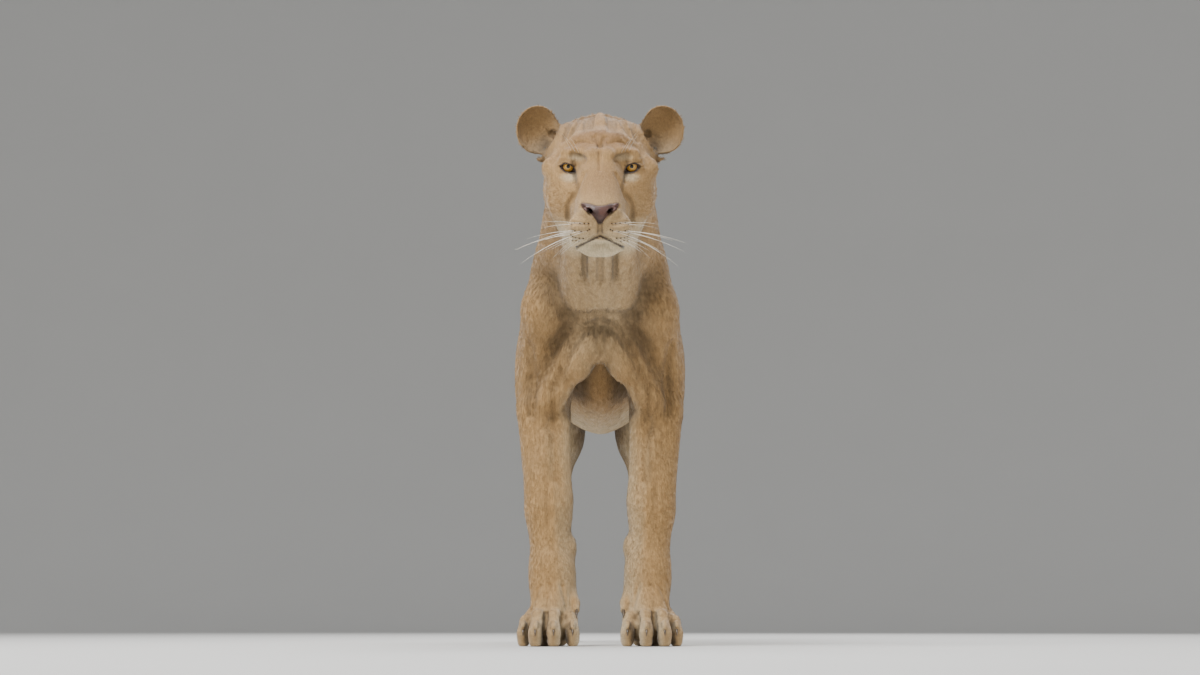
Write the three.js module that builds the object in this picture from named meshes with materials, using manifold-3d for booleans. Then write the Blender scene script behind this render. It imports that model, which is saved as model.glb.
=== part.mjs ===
// A standing lioness at life size, as a still model: four straight legs under her, the neck
// level, the head turned forward with its nose a little down, the tail hanging.
// Millimetres, +Z up. She faces -Y, and her left side is at +X.
// The body is one smooth field made of named muscles and bones. Each sub-part is a net over
// its own region of that field, cut flat where it meets its neighbours.
import * as THREE from "three";
import { mergeVertices } from "three/addons/utils/BufferGeometryUtils.js";
import Module from "manifold-3d";

const wasm = await Module();
wasm.setup();

// ---- Driving dimensions -------------------------------------------------------------
// Y = 0 is the line through the wrists of the forelegs; the group is centred at the end.
const GAP = 0.4; // between neighbouring solids
const HEAD_END = -298; // y where head meets neck
const NECK_END = -150; // y where neck meets chest
const CHEST_END = 240; // y where chest meets abdomen
const ABDOMEN_END = 640; // y where abdomen meets rump
const REAR_END = 1120; // y behind the hocks
const ARM_REAR = 118; // y behind the upper arm
const THIGH_FRONT = 720; // y in front of the knee
const SHOULDER_TOP = 740;
const THIGH_TOP = 700;
const ELBOW = 498; // heights where the legs are parted
const KNEE = 500;
const WRIST = 178;
const HOCK = 320;
const INSTEP = 95;
const SHOULDER_INNER = 70; // distances from the middle plane
const LEG_INNER = 20;
const THIGH_INNER = 34;
const SIDE = 260;
const CROWN = 1080; // above everything
const HEAD_AT = [0, -430, 882]; // midpoint of the eyes
const HEAD_PITCH = 23; // nose down, in degrees
const EYE = { x: 59, y: 9, radius: 19, opening: [14, 20, 8.4], slant: 14 };
const NOSE = { top: -50, bottom: -86, half: 36, level: -68, foot: 6, back: -108, depth: 60 };
const CLAW = { forward: 21, drop: 22, radii: [5, 4, 1.2], sides: 5 };

// ---- Field primitives ---------------------------------------------------------------
const RAD = Math.PI / 180;
const FAR = 200;
const clamp01 = (t) => Math.min(1, Math.max(0, t));

// A tapered capsule from a to b, squeezed across by flat.
function taper(name, a, b, ra, rb, { flat = 1, blend = 20, cut = false, fine = false } = {}) {
  const d = [(b[0] - a[0]) / flat, b[1] - a[1], b[2] - a[2]];
  const length2 = d[0] ** 2 + d[1] ** 2 + d[2] ** 2;
  const r = Math.max(ra, rb);
  const low = a.map((v, i) => Math.min(v, b[i]) - r);
  const high = a.map((v, i) => Math.max(v, b[i]) + r);
  const distance = (x, y, z) => {
    const p = [(x - a[0]) / flat, y - a[1], z - a[2]];
    const t = clamp01((p[0] * d[0] + p[1] * d[1] + p[2] * d[2]) / length2);
    const q = p.map((v, i) => v - t * d[i]);
    const away = Math.hypot(...q) + 1e-9;
    const gradient = Math.hypot(q[0] / flat, q[1], q[2]) / away + 1e-9;
    return (away - (ra + t * (rb - ra))) / gradient;
  };
  return { name, distance, low, high, blend, cut, fine };
}

// An ellipsoid pitched about x, rolled about y and yawed about z, in degrees.
function blob(name, c, r, { pitch = 0, roll = 0, yaw = 0, blend = 20, cut = false, fine = false } = {}) {
  const [cp, sp, cr, sr, cy, sy] = [pitch, roll, yaw].flatMap((v) => [Math.cos(v * RAD), Math.sin(v * RAD)]);
  const R = Math.max(...r);
  const distance = (x, y, z) => {
    const [px, py, pz] = [x - c[0], y - c[1], z - c[2]];
    const u = cy * px + sy * py;
    const v = -sy * px + cy * py;
    const w = sr * u + cr * pz;
    const q = [cr * u - sr * pz, cp * v + sp * w, -sp * v + cp * w];
    const k0 = Math.hypot(q[0] / r[0], q[1] / r[1], q[2] / r[2]) + 1e-9;
    const k1 = Math.hypot(q[0] / r[0] ** 2, q[1] / r[1] ** 2, q[2] / r[2] ** 2) + 1e-12;
    return (k0 * (k0 - 1)) / k1;
  };
  return { name, distance, low: c.map((v) => v - R), high: c.map((v) => v + R), blend, cut, fine };
}

// A smooth curve through column i of the stations, against y in column 0.
function along(rows, i) {
  const last = rows.length - 1;
  const slope = rows.map((r, k) => {
    const [a, b] = [rows[Math.max(0, k - 1)], rows[Math.min(last, k + 1)]];
    return (b[i] - a[i]) / (b[0] - a[0]);
  });
  return (y) => {
    let k = 0;
    while (k < last - 1 && y > rows[k + 1][0]) k++;
    const h = rows[k + 1][0] - rows[k][0];
    const t = (y - rows[k][0]) / h;
    const [t2, t3] = [t * t, t * t * t];
    return (2 * t3 - 3 * t2 + 1) * rows[k][i] + (t3 - 2 * t2 + t) * h * slope[k]
      + (3 * t2 - 2 * t3) * rows[k + 1][i] + (t3 - t2) * h * slope[k + 1];
  };
}

// Egg-shaped sections across y. A station is [y, top, bottom, half width, height of the widest].
function loft(name, rows, { nTop = 2, nBottom = 2, cap = 30, blend = 20 } = {}) {
  const curves = [1, 2, 3, 4].map((i) => along(rows, i));
  const [y0, y1] = [rows[0][0], rows.at(-1)[0]];
  const wide = Math.max(...rows.map((r) => r[3]));
  const distance = (x, y, z) => {
    const [top, bottom, half, level] = curves.map((f) => f(Math.min(y1, Math.max(y0, y))));
    const up = z >= level;
    const h = Math.max(1, up ? top - level : level - bottom);
    const n = up ? nTop : nBottom;
    const [a, b] = [Math.abs(x) / half + 1e-6, Math.abs(z - level) / h + 1e-6];
    const r = (a ** n + b ** n) ** (1 / n);
    const d = (r - 1) / (r ** (1 - n) * Math.hypot(a ** (n - 1) / half, b ** (n - 1) / h));
    const e = Math.max(y0 - y, y - y1);
    const m = Math.max(cap - Math.abs(d - e), 0) / cap;
    return Math.max(d, e) + (m * m * cap) / 4;
  };
  const low = [-wide, y0, Math.min(...rows.map((r) => r[2]))];
  const high = [wide, y1, Math.max(...rows.map((r) => r[1]))];
  return { name, distance, low, high, blend, cut: false, fine: false };
}

// Smooth union of two distances over a reach of k.
function joined(a, b, k) {
  const h = Math.max(k - Math.abs(a - b), 0) / k;
  return Math.min(a, b) - (h * h * k) / 4;
}

// A primitive on the middle plane stands once, every other one on both sides.
function sided(list) {
  return list.map((p) => ({ ...p, sides: Math.abs(p.low[0] + p.high[0]) < 1e-6 ? [1] : [1, -1] }));
}

// Turns primitives of the head's frame, nose down by pitch, and puts them at origin.
function framed(list, origin, pitch) {
  const [c, s] = [Math.cos(pitch * RAD), Math.sin(pitch * RAD)];
  return list.map((p) => {
    const corners = [0, 1, 2, 3].map((i) => {
      const [y, z] = [i & 1 ? p.high[1] : p.low[1], i & 2 ? p.high[2] : p.low[2]];
      return [c * y - s * z + origin[1], s * y + c * z + origin[2]];
    });
    const [ys, zs] = [corners.map((q) => q[0]), corners.map((q) => q[1])];
    const distance = (x, y, z) => {
      const [py, pz] = [y - origin[1], z - origin[2]];
      return p.distance(x - origin[0], c * py + s * pz, -s * py + c * pz);
    };
    return { ...p, distance, low: [p.low[0], Math.min(...ys), Math.min(...zs)],
      high: [p.high[0], Math.max(...ys), Math.max(...zs)] };
  });
}

// ---- Anatomy ------------------------------------------------------------------------
// Trunk and neck: [y, top, bottom, half width, height of the widest]
const TRUNK = [
  [-340, 958, 756, 84, 850],
  [-260, 966, 716, 96, 830],
  [-180, 974, 672, 104, 790],
  [-110, 982, 642, 108, 770],
  [-40, 990, 606, 118, 752],
  [40, 992, 560, 136, 730],
  [120, 982, 502, 152, 706],
  [220, 964, 482, 170, 690],
  [360, 950, 480, 181, 682],
  [500, 948, 486, 176, 692],
  [620, 955, 506, 156, 714],
  [720, 966, 546, 140, 748],
  [830, 966, 600, 126, 778],
  [920, 940, 664, 112, 800],
  [985, 898, 730, 88, 812],
];

const TRUNK_PARTS = [
  loft("trunk", TRUNK, { nTop: 1.85, nBottom: 2.1, cap: 60, blend: 1 }),
  blob("flank_fold", [92, 745, 580], [30, 62, 52], { blend: 50 }),
  blob("rib_barrel", [88, 260, 690], [80, 170, 150], { blend: 50 }),
  blob("chest_front", [0, -96, 700], [72, 66, 62], { blend: 50 }),
  blob("loin", [46, 620, 926], [46, 170, 30], { blend: 40 }),
  blob("rump", [66, 850, 860], [72, 140, 92], { blend: 60 }),
  blob("hip_point", [92, 760, 905], [26, 46, 30], { blend: 40 }),
  taper("throat_cord", [42, -345, 780], [40, -150, 700], 34, 34, { blend: 30 }),
  taper("windpipe", [0, -340, 752], [0, -160, 682], 28, 26, { blend: 26 }),
  taper("nape", [34, -330, 930], [34, -60, 955], 40, 44, { blend: 40 }),
  taper("neck_side", [66, -320, 850], [84, -130, 790], 36, 44, { blend: 40 }),
];

// Toes: [knuckle x, y, z, tip x, tip y, radius], from the inner one outwards
const FORE_TOES = [
  [60, -54, 52, 54, -86, 17.5],
  [91, -72, 56, 91, -108, 18.5],
  [123, -70, 56, 127, -106, 18.5],
  [147, -46, 47, 152, -76, 17],
];
const HIND_TOES = [
  [84, 945, 48, 79, 915, 16],
  [108, 930, 53, 107, 893, 17],
  [133, 932, 53, 135, 896, 17],
  [153, 950, 46, 158, 922, 15.5],
];
const TOE_TIP = 27;
const PAD_HEIGHT = 13;

function toes(leg, table, middle) {
  return table.flatMap(([kx, ky, kz, tx, ty, r], i) => {
    const root = [middle + (kx - middle) * 0.72, ky + 36, kz + 20];
    return [
      taper(`${leg}_toe_root_${i}`, root, [kx, ky, kz], r * 0.98, r, { blend: 8 }),
      taper(`${leg}_toe_${i}`, [kx, ky, kz], [tx, ty, TOE_TIP], r, r * 0.9, { blend: 2.5 }),
      blob(`${leg}_toe_pad_${i}`, [tx, ty + 12, PAD_HEIGHT], [r * 0.84, r * 1.15, PAD_HEIGHT + 5], { blend: 5 }),
    ];
  });
}

const FORELEG_PARTS = [
  taper("shoulder_blade", [66, 40, 930], [112, -66, 745], 36, 56, { flat: 0.62, blend: 45 }),
  taper("blade_edge", [60, 110, 905], [122, 70, 690], 30, 58, { flat: 0.62, blend: 45 }),
  blob("shoulder_point", [106, -92, 682], [40, 44, 54], { blend: 34 }),
  taper("upper_arm", [112, -62, 670], [118, 34, 540], 60, 58, { flat: 0.88, blend: 40 }),
  blob("triceps", [138, 52, 592], [43, 66, 104], { pitch: -10, blend: 34 }),
  taper("breast_muscle", [33, -86, 640], [56, -66, 572], 32, 38, { blend: 16 }),
  taper("breast_strap", [56, -70, 600], [99, -40, 516], 32, 34, { blend: 20 }),
  taper("breast_inner", [46, -30, 600], [91, 6, 518], 34, 28, { blend: 24 }),
  blob("elbow", [128, 84, 530], [24, 26, 40], { blend: 28 }),
  taper("forearm", [116, 30, 500], [106, 4, 280], 58, 48, { flat: 0.9, blend: 34 }),
  taper("forearm_lower", [106, 4, 280], [97, -2, 130], 47, 42, { blend: 30 }),
  taper("extensor", [136, 2, 476], [124, -8, 330], 36, 28, { blend: 28 }),
  taper("flexor", [100, 56, 470], [98, 40, 300], 36, 24, { blend: 30 }),
  taper("inner_tendon", [84, -12, 450], [78, -14, 300], 25, 20, { blend: 22 }),
  taper("front_cord", [112, -26, 400], [96, -30, 190], 20, 14, { blend: 20 }),
  blob("wrist", [97, -4, 160], [44, 43, 36], { blend: 24 }),
  blob("wrist_inner", [60, 4, 200], [14, 20, 22], { blend: 18 }),
  blob("wrist_pad", [100, 46, 122], [18, 16, 24], { pitch: 20, blend: 18 }),
  taper("metacarpus", [97, -6, 124], [98, -30, 72], 42, 42, { flat: 1.06, blend: 24 }),
  ...toes("fore", FORE_TOES, 100),
  blob("fore_pad", [100, -16, 18], [40, 31, 24], { blend: 12 }),
  taper("dewclaw_toe", [64, -6, 116], [52, -32, 86], 15, 13, { blend: 10 }),
  taper("dewclaw_tip", [52, -32, 86], [48, -46, 72], 12, 9, { blend: 6 }),
];

const HINDLEG_PARTS = [
  taper("thigh", [86, 872, 800], [108, 818, 580], 114, 76, { flat: 0.68, blend: 60 }),
  taper("thigh_back", [80, 966, 800], [100, 950, 550], 78, 60, { flat: 0.68, blend: 55 }),
  blob("buttock", [58, 990, 800], [46, 52, 74], { blend: 45 }),
  blob("inner_thigh", [72, 890, 560], [34, 70, 80], { blend: 45 }),
  taper("knee", [110, 776, 560], [112, 800, 500], 44, 40, { flat: 0.85, blend: 40 }),
  taper("shank", [106, 832, 520], [118, 1010, 320], 66, 37, { flat: 0.72, blend: 45 }),
  taper("calf", [100, 928, 520], [114, 1008, 386], 52, 30, { flat: 0.7, blend: 40 }),
  taper("heel_cord", [112, 1020, 430], [120, 1062, 312], 18, 17, { flat: 0.7, blend: 26 }),
  blob("hock", [120, 1030, 292], [30, 40, 42], { blend: 26 }),
  blob("heel", [121, 1062, 302], [17, 18, 22], { blend: 20 }),
  taper("hind_shaft", [120, 1030, 280], [121, 1002, 80], 35, 36, { flat: 0.84, blend: 26 }),
  blob("hind_instep", [120, 985, 66], [36, 40, 28], { blend: 24 }),
  ...toes("hind", HIND_TOES, 120),
  blob("hind_pad", [120, 968, 17], [34, 30, 23], { blend: 12 }),
];

// Tail: [x, y, z, radius] down its length; the last stations are the tuft
const TAIL = [
  [0, 950, 880, 40], [2, 1010, 872, 30], [8, 1062, 832, 24], [20, 1100, 760, 20.5],
  [40, 1126, 660, 18.5], [68, 1142, 560, 17.5], [96, 1150, 460, 16.5], [116, 1160, 370, 16],
  [126, 1180, 290, 16], [128, 1212, 226, 21], [122, 1256, 192, 25], [114, 1300, 186, 10],
];
const TAIL_SIDES = 9;
const TAIL_MIDDLE = 4; // station where the middle length begins
const TAIL_TUFT = 8; // station where the tuft begins
const TAIL_ROOT = TAIL.slice(0, 4).map((s, i) => taper(`tail_root_${i}`, s.slice(0, 3),
  TAIL[i + 1].slice(0, 3), s[3], TAIL[i + 1][3], { blend: 24 }));

// Head, in its own frame: origin between the eyes, nose towards -y, level
const CRANIUM = [
  [6, 48, -70, 66, -6],
  [30, 62, -108, 90, -22],
  [60, 73, -118, 103, -20],
  [96, 82, -112, 103, -12],
  [134, 84, -98, 94, 0],
  [172, 76, -84, 86, 4],
];
const MUZZLE = [
  [-127, -52, -100, 26, -80],
  [-112, -40, -122, 43, -88],
  [-86, -19, -130, 51, -94],
  [-54, 8, -132, 52, -90],
  [-20, 34, -128, 50, -80],
  [20, 56, -118, 60, -60],
];
const HEAD_PARTS = [
  loft("skull", CRANIUM, { nTop: 2.0, nBottom: 2.1, cap: 22, blend: 46 }),
  loft("muzzle", MUZZLE, { nTop: 2.5, nBottom: 2.6, cap: 16, blend: 20 }),
  blob("crown", [36, 112, 46], [34, 46, 28], { blend: 30 }),
  blob("nape_crest", [0, 128, 62], [17, 56, 27], { blend: 22 }),
  taper("cheekbone", [50, -12, -38], [92, 34, -6], 24, 20, { blend: 26 }),
  taper("cheek", [44, -30, -70], [66, 10, -70], 22, 28, { blend: 30 }),
  blob("jaw_muscle", [68, 40, -58], [31, 48, 46], { blend: 34 }),
  blob("cheek_low", [50, 0, -104], [27, 50, 29], { blend: 30 }),
  blob("whisker_pad", [28, -98, -97], [28, 33, 30], { yaw: 14, blend: 10 }),
  blob("upper_lip", [39, -82, -120], [16, 34, 21], { yaw: 18, blend: 10 }),
  blob("nose_tip", [0, -112, -66], [34, 24, 17], { pitch: 24, blend: 7 }),
  blob("nose_wing", [21, -111, -65], [15, 18, 12], { yaw: 18, blend: 5 }),
  blob("chin", [0, -92, -134], [27, 24, 20], { blend: 12 }),
  taper("jaw", [24, -80, -134], [50, 30, -110], 20, 28, { blend: 26 }),
  taper("brow", [36, -4, 26], [66, 10, 27], 9, 9, { blend: 22 }),
  blob("lids", [EYE.x, EYE.y, 0], [22.5, 22.5, 21.5], { blend: 8 }),
];
const EAR_TILT = { pitch: -23, roll: 13, yaw: 12 };
const EAR_PARTS = [
  blob("ear_root", [92, 112, 36], [30, 32, 42], { roll: 24, pitch: -20, blend: 26 }),
  blob("ear_outer", [121, 127, 56], [46, 34, 52], { ...EAR_TILT, blend: 12 }),
  blob("ear_hollow", [122, 106, 61], [40, 38, 45.5], { ...EAR_TILT, blend: 3, cut: true }),
  blob("ear_lobe", [114, 96, 14], [11, 11, 14], { roll: -20, blend: 8 }),
];

const BODY = [
  ...sided(TRUNK_PARTS), ...sided(FORELEG_PARTS), ...sided(HINDLEG_PARTS),
  ...TAIL_ROOT.map((p) => ({ ...p, sides: [1] })),
  ...framed(sided([...HEAD_PARTS, ...EAR_PARTS]), HEAD_AT, HEAD_PITCH),
];

function fieldAt([x, y, z]) {
  let f = FAR;
  for (const p of BODY) {
    const m = p.blend + 30;
    if (y < p.low[1] - m || y > p.high[1] + m || z < p.low[2] - m || z > p.high[2] + m) continue;
    for (const side of p.sides) {
      const sx = side * x;
      if (sx < p.low[0] - m || sx > p.high[0] + m) continue;
      const d = p.distance(sx, y, z);
      f = p.cut ? -joined(-f, d, p.blend) : joined(f, d, p.blend);
    }
  }
  return f;
}

// ---- Surface net --------------------------------------------------------------------
// Samples the field on a grid whose outermost layer counts as outside, so the net is closed.
function sampled(low, high, cell, shift) {
  const start = low.map((v, i) => v - (1.5 + shift) * cell[i]);
  const n = high.map((v, i) => Math.ceil((v - start[i]) / cell[i]) + 2);
  const f = new Float32Array(n[0] * n[1] * n[2]).fill(FAR);
  for (let c = 1; c < n[2] - 1; c++) {
    for (let b = 1; b < n[1] - 1; b++) {
      for (let a = 1; a < n[0] - 1; a++) {
        f[a + n[0] * (b + n[1] * c)] = fieldAt([a, b, c].map((v, i) => start[i] + v * cell[i]));
      }
    }
  }
  return { f, n, start, cell };
}

const CORNERS = [0, 1, 2, 3, 4, 5, 6, 7].map((i) => [i & 1, (i >> 1) & 1, i >> 2]);
const AXES = [0, 1, 2];
// An edge of a cell is known by its lower corner and its axis.
const edgeKey = (corner, axis) => corner * 3 + axis;
const EDGES = CORNERS.flatMap((_, i) => AXES.filter((axis) => !(i & (1 << axis))).map((axis) => [i, axis]));
const FACES = AXES.flatMap((axis) => [0, 1].map((s) => {
  const [u, v] = [1 << ((axis + 1) % 3), 1 << ((axis + 2) % 3)];
  const ring = [0, u, u | v, v].map((bits) => bits | (s << axis));
  return ring.map((corner, k) => {
    const next = ring[(k + 1) % 4];
    return { corner, edge: edgeKey(Math.min(corner, next), AXES.find((i) => (corner ^ next) === 1 << i)) };
  });
}));

// Groups a cell's crossed edges into the separate sheets that pass through it.
function sheets(v) {
  const crossed = new Set(EDGES.filter(([i, axis]) => v[i] < 0 !== v[i | (1 << axis)] < 0)
    .map(([i, axis]) => edgeKey(i, axis)));
  const group = new Map([...crossed].map((e) => [e, e]));
  const root = (e) => (group.get(e) === e ? e : root(group.get(e)));
  for (const face of FACES) {
    const cut = face.filter((q) => crossed.has(q.edge));
    if (cut.length === 2) group.set(root(cut[0].edge), root(cut[1].edge));
    if (cut.length < 4) continue;
    face.forEach((q, k) => {
      if (v[q.corner] < 0) group.set(root(q.edge), root(face[(k + 3) % 4].edge));
    });
  }
  const found = new Map();
  for (const e of crossed) found.set(root(e), [...(found.get(root(e)) ?? []), e]);
  return [...found.values()];
}

// One point in each cell for each sheet of the surface through it, and a quad around each crossed edge.
function surfaceNet({ f, n, start, cell }) {
  const at = (a, b, c) => a + n[0] * (b + n[1] * c);
  const id = new Map();
  const points = [], quads = [];
  for (let c = 0; c < n[2] - 1; c++) {
    for (let b = 0; b < n[1] - 1; b++) {
      for (let a = 0; a < n[0] - 1; a++) {
        const v = CORNERS.map(([i, j, k]) => f[at(a + i, b + j, c + k)]);
        if (v.every((q) => q < 0) || v.every((q) => q >= 0)) continue;
        for (const sheet of sheets(v)) {
          const sum = [0, 0, 0];
          for (const edge of sheet) {
            const [i, axis] = [Math.floor(edge / 3), edge % 3];
            const t = v[i] / (v[i] - v[i | (1 << axis)]);
            CORNERS[i].forEach((w, k) => { sum[k] += w + (k === axis ? t : 0); });
            id.set(at(a, b, c) * 24 + edge, points.length);
          }
          points.push([a, b, c].map((w, k) => start[k] + (w + sum[k] / sheet.length) * cell[k]));
        }
      }
    }
  }
  const step = [1, n[0], n[0] * n[1]];
  for (let c = 0; c < n[2] - 1; c++) {
    for (let b = 0; b < n[1] - 1; b++) {
      for (let a = 0; a < n[0] - 1; a++) {
        const o = at(a, b, c);
        const inside = f[o] < 0;
        for (const axis of AXES) {
          if (inside === f[o + step[axis]] < 0) continue;
          const [ua, va] = [(axis + 1) % 3, (axis + 2) % 3];
          const quad = [[1, 1], [0, 1], [0, 0], [1, 0]].map(([u, v]) =>
            id.get((o - u * step[ua] - v * step[va]) * 24 + edgeKey((u << ua) | (v << va), axis)));
          quads.push(inside ? quad : quad.reverse());
        }
      }
    }
  }
  return { points, quads };
}

// Moves the net's points onto the surface, by at most a third of a cell.
function settle(points, cell) {
  const [e, most] = [0.5, Math.min(...cell) / 3];
  for (const p of points) {
    for (let k = 0; k < 2; k++) {
      const g = [0, 1, 2].map((i) => {
        const [a, b] = [[...p], [...p]];
        a[i] += e;
        b[i] -= e;
        return (fieldAt(a) - fieldAt(b)) / (2 * e);
      });
      const g2 = g[0] ** 2 + g[1] ** 2 + g[2] ** 2;
      if (g2 < 0.1) break;
      const step = Math.max(-most, Math.min(most, fieldAt(p))) / g2;
      g.forEach((v, i) => { p[i] -= step * v; });
    }
  }
}

// ---- Thinning -----------------------------------------------------------------------
// Squared distance to a set of planes, as ten sums over the planes (a, b, c, d).
const PAIRS = [0, 1, 2, 3].flatMap((i) => [0, 1, 2, 3].slice(i).map((j) => [i, j]));
const errorAt = (q, p) => PAIRS.reduce((sum, [i, j], k) =>
  sum + q[k] * (p[i] ?? 1) * (p[j] ?? 1) * (i === j ? 1 : 2), 0);

const cross = (a, b, c) => {
  const [u, v] = [b.map((w, k) => w - a[k]), c.map((w, k) => w - a[k])];
  return [u[1] * v[2] - u[2] * v[1], u[2] * v[0] - u[0] * v[2], u[0] * v[1] - u[1] * v[0]];
};

// The point with the least error on the way from a to b, tried at even steps.
function bestPoint(q, a, b) {
  let best = null;
  for (const t of [0, 0.25, 0.5, 0.75, 1]) {
    const p = a.map((v, i) => v + (b[i] - v) * t);
    const error = errorAt(q, p);
    if (!best || error < best.error) best = { p, error };
  }
  return best;
}

// Joins neighbouring points, flattest places first, until about target triangles are left.
function thinned(points, triangles, target) {
  let faces = [];
  for (let i = 0; i < triangles.length; i += 3) faces.push(triangles.slice(i, i + 3));
  const quadrics = points.map(() => new Float64Array(10));
  for (const face of faces) {
    const normal = cross(...face.map((i) => points[i]));
    const area = Math.hypot(...normal) + 1e-9;
    const plane = normal.map((v) => v / area);
    plane.push(-plane.reduce((sum, v, i) => sum + v * points[face[0]][i], 0));
    for (const i of face) PAIRS.forEach(([j, k], m) => { quadrics[i][m] += area * plane[j] * plane[k]; });
  }
  for (let pass = 0; pass < 60 && faces.length > target; pass++) {
    const around = new Map();
    faces.forEach((face, f) => face.forEach((i) => {
      if (!around.has(i)) around.set(i, []);
      around.get(i).push(f);
    }));
    const neighbours = (i) => new Set(around.get(i).flatMap((f) => faces[f]).filter((j) => j !== i));
    const edges = [];
    for (const [a, b, c] of faces) {
      for (const [i, j] of [[a, b], [b, c], [c, a]]) {
        if (i > j) continue;
        const q = quadrics[i].map((v, k) => v + quadrics[j][k]);
        edges.push({ i, j, q, ...bestPoint(q, points[i], points[j]) });
      }
    }
    edges.sort((a, b) => a.error - b.error);
    const touched = new Set(), gone = new Set();
    const wanted = Math.max(20, Math.min((faces.length - target) / 2, edges.length / 12));
    let done = 0;
    for (const { i, j, q, p } of edges) {
      if (done >= wanted) break;
      const [ni, nj] = [neighbours(i), neighbours(j)];
      if ([i, j, ...ni, ...nj].some((k) => touched.has(k))) continue;
      if ([...ni].filter((k) => nj.has(k)).length !== 2) continue;
      const both = around.get(i).filter((f) => faces[f].includes(j));
      const rest = [...around.get(i), ...around.get(j)].filter((f) => !both.includes(f));
      const folds = rest.some((f) => {
        const before = cross(...faces[f].map((k) => points[k]));
        const after = cross(...faces[f].map((k) => (k === i || k === j ? p : points[k])));
        const dot = before.reduce((sum, v, k) => sum + v * after[k], 0);
        return dot < 0.3 * Math.hypot(...before) * Math.hypot(...after) || Math.hypot(...after) < 1e-3;
      });
      if (folds) continue;
      points[i] = p;
      quadrics[i] = q;
      rest.forEach((f) => { faces[f] = faces[f].map((k) => (k === j ? i : k)); });
      both.forEach((f) => gone.add(f));
      [i, j, ...ni, ...nj].forEach((k) => touched.add(k));
      done++;
    }
    if (!done) break;
    faces = faces.filter((_, f) => !gone.has(f));
  }
  const kept = [...new Set(faces.flat())];
  const index = new Map(kept.map((k, i) => [k, i]));
  return { points: kept.map((k) => points[k]), triangles: faces.flat().map((k) => index.get(k)) };
}

// ---- Solids -------------------------------------------------------------------------
function solidFrom(positions, triangles) {
  return new wasm.Manifold(new wasm.Mesh({ numProp: 3, vertProperties: new Float32Array(positions),
    triVerts: new Uint32Array(triangles) }));
}

function solidOf(geometry, matrix) {
  const bare = geometry.clone().applyMatrix4(matrix ?? new THREE.Matrix4());
  bare.deleteAttribute("normal");
  bare.deleteAttribute("uv");
  const merged = mergeVertices(bare, 1e-4);
  return solidFrom(merged.attributes.position.array, merged.index.array);
}

function geometryOf(solid, mirrored = false) {
  const mesh = solid.getMesh();
  const xyz = Float32Array.from(mesh.vertProperties, (v, i) => (mirrored && i % 3 === 0 ? -v : v));
  const index = Array.from(mesh.triVerts);
  if (mirrored) for (let i = 0; i < index.length; i += 3) [index[i], index[i + 1]] = [index[i + 1], index[i]];
  const geometry = new THREE.BufferGeometry().setAttribute("position", new THREE.BufferAttribute(xyz, 3));
  geometry.setIndex(index);
  geometry.computeVertexNormals();
  return geometry;
}

function box(low, high, grow = 0, matrix) {
  const size = high.map((v, i) => v - low[i] + 2 * grow);
  const middle = high.map((v, i) => (v + low[i]) / 2);
  const place = new THREE.Matrix4().makeTranslation(...middle);
  return solidOf(new THREE.BoxGeometry(...size), matrix ? matrix.clone().multiply(place) : place);
}

const largest = (solid) => solid.decompose().reduce((a, b) => (a.volume() > b.volume() ? a : b));

// Whether each edge borders exactly two triangles.
function isClosed(triangles) {
  const uses = new Map();
  triangles.forEach((a, i) => {
    const b = triangles[i % 3 === 2 ? i - 2 : i + 1];
    const key = Math.min(a, b) * triangles.length + Math.max(a, b);
    uses.set(key, (uses.get(key) ?? 0) + 1);
  });
  return [...uses.values()].every((count) => count === 2);
}

// The stretch of the body inside a box, cut flat at the box's faces, from a net thinned to
// about target triangles. A grid that happens to pinch the net where two surfaces nearly
// touch is shifted and sampled again.
function region(low, high, cell, target) {
  for (let shift = 0; shift < 2; shift += 0.17) {
    const net = surfaceNet(sampled(low, high, cell, shift));
    settle(net.points, cell);
    const triangles = net.quads.flatMap(([a, b, c, d]) => {
      const P = net.points;
      const across = (i, j) => Math.hypot(...P[i].map((v, k) => v - P[j][k]));
      return across(a, c) < across(b, d) ? [a, b, c, a, c, d] : [a, b, d, b, c, d];
    });
    if (!isClosed(triangles)) continue;
    const thin = thinned(net.points, triangles, target);
    if (isClosed(thin.triangles)) {
      return largest(solidFrom(thin.points.flat(), thin.triangles).intersect(box(low, high)));
    }
  }
  throw new Error("no closed net in the region");
}

// A tube around a path of [x, y, z, radius], with flat ends, between stations from and to.
// Its ends are moved out by reach, or in where reach is negative.
function tube(stations, sides, { grow = 0, from = 0, to = stations.length - 1, reach = [grow, grow] } = {}) {
  const path = stations.map((s) => new THREE.Vector3(...s.slice(0, 3)));
  const positions = [], triangles = [];
  const side = new THREE.Vector3(1, 0, 0);
  for (let i = from; i <= to; i++) {
    const way = path[Math.min(i + 1, path.length - 1)].clone().sub(path[Math.max(i - 1, 0)]).normalize();
    const u = side.clone().addScaledVector(way, -side.dot(way)).normalize();
    const v = way.clone().cross(u);
    const middle = path[i].clone().addScaledVector(way, i === from ? -reach[0] : i === to ? reach[1] : 0);
    const radius = stations[i][3] + grow;
    for (let k = 0; k < sides; k++) {
      const angle = (2 * Math.PI * k) / sides;
      positions.push(...middle.clone().addScaledVector(u, radius * Math.cos(angle))
        .addScaledVector(v, radius * Math.sin(angle)).toArray());
    }
  }
  for (let i = 0; i < to - from; i++) {
    for (let k = 0; k < sides; k++) {
      const [a, b] = [i * sides + k, i * sides + ((k + 1) % sides)];
      triangles.push(a, b, a + sides, b, b + sides, a + sides);
    }
  }
  const last = (to - from) * sides;
  for (let k = 1; k + 1 < sides; k++) triangles.push(0, k + 1, k, last, last + k, last + k + 1);
  return solidFrom(positions, triangles);
}

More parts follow.
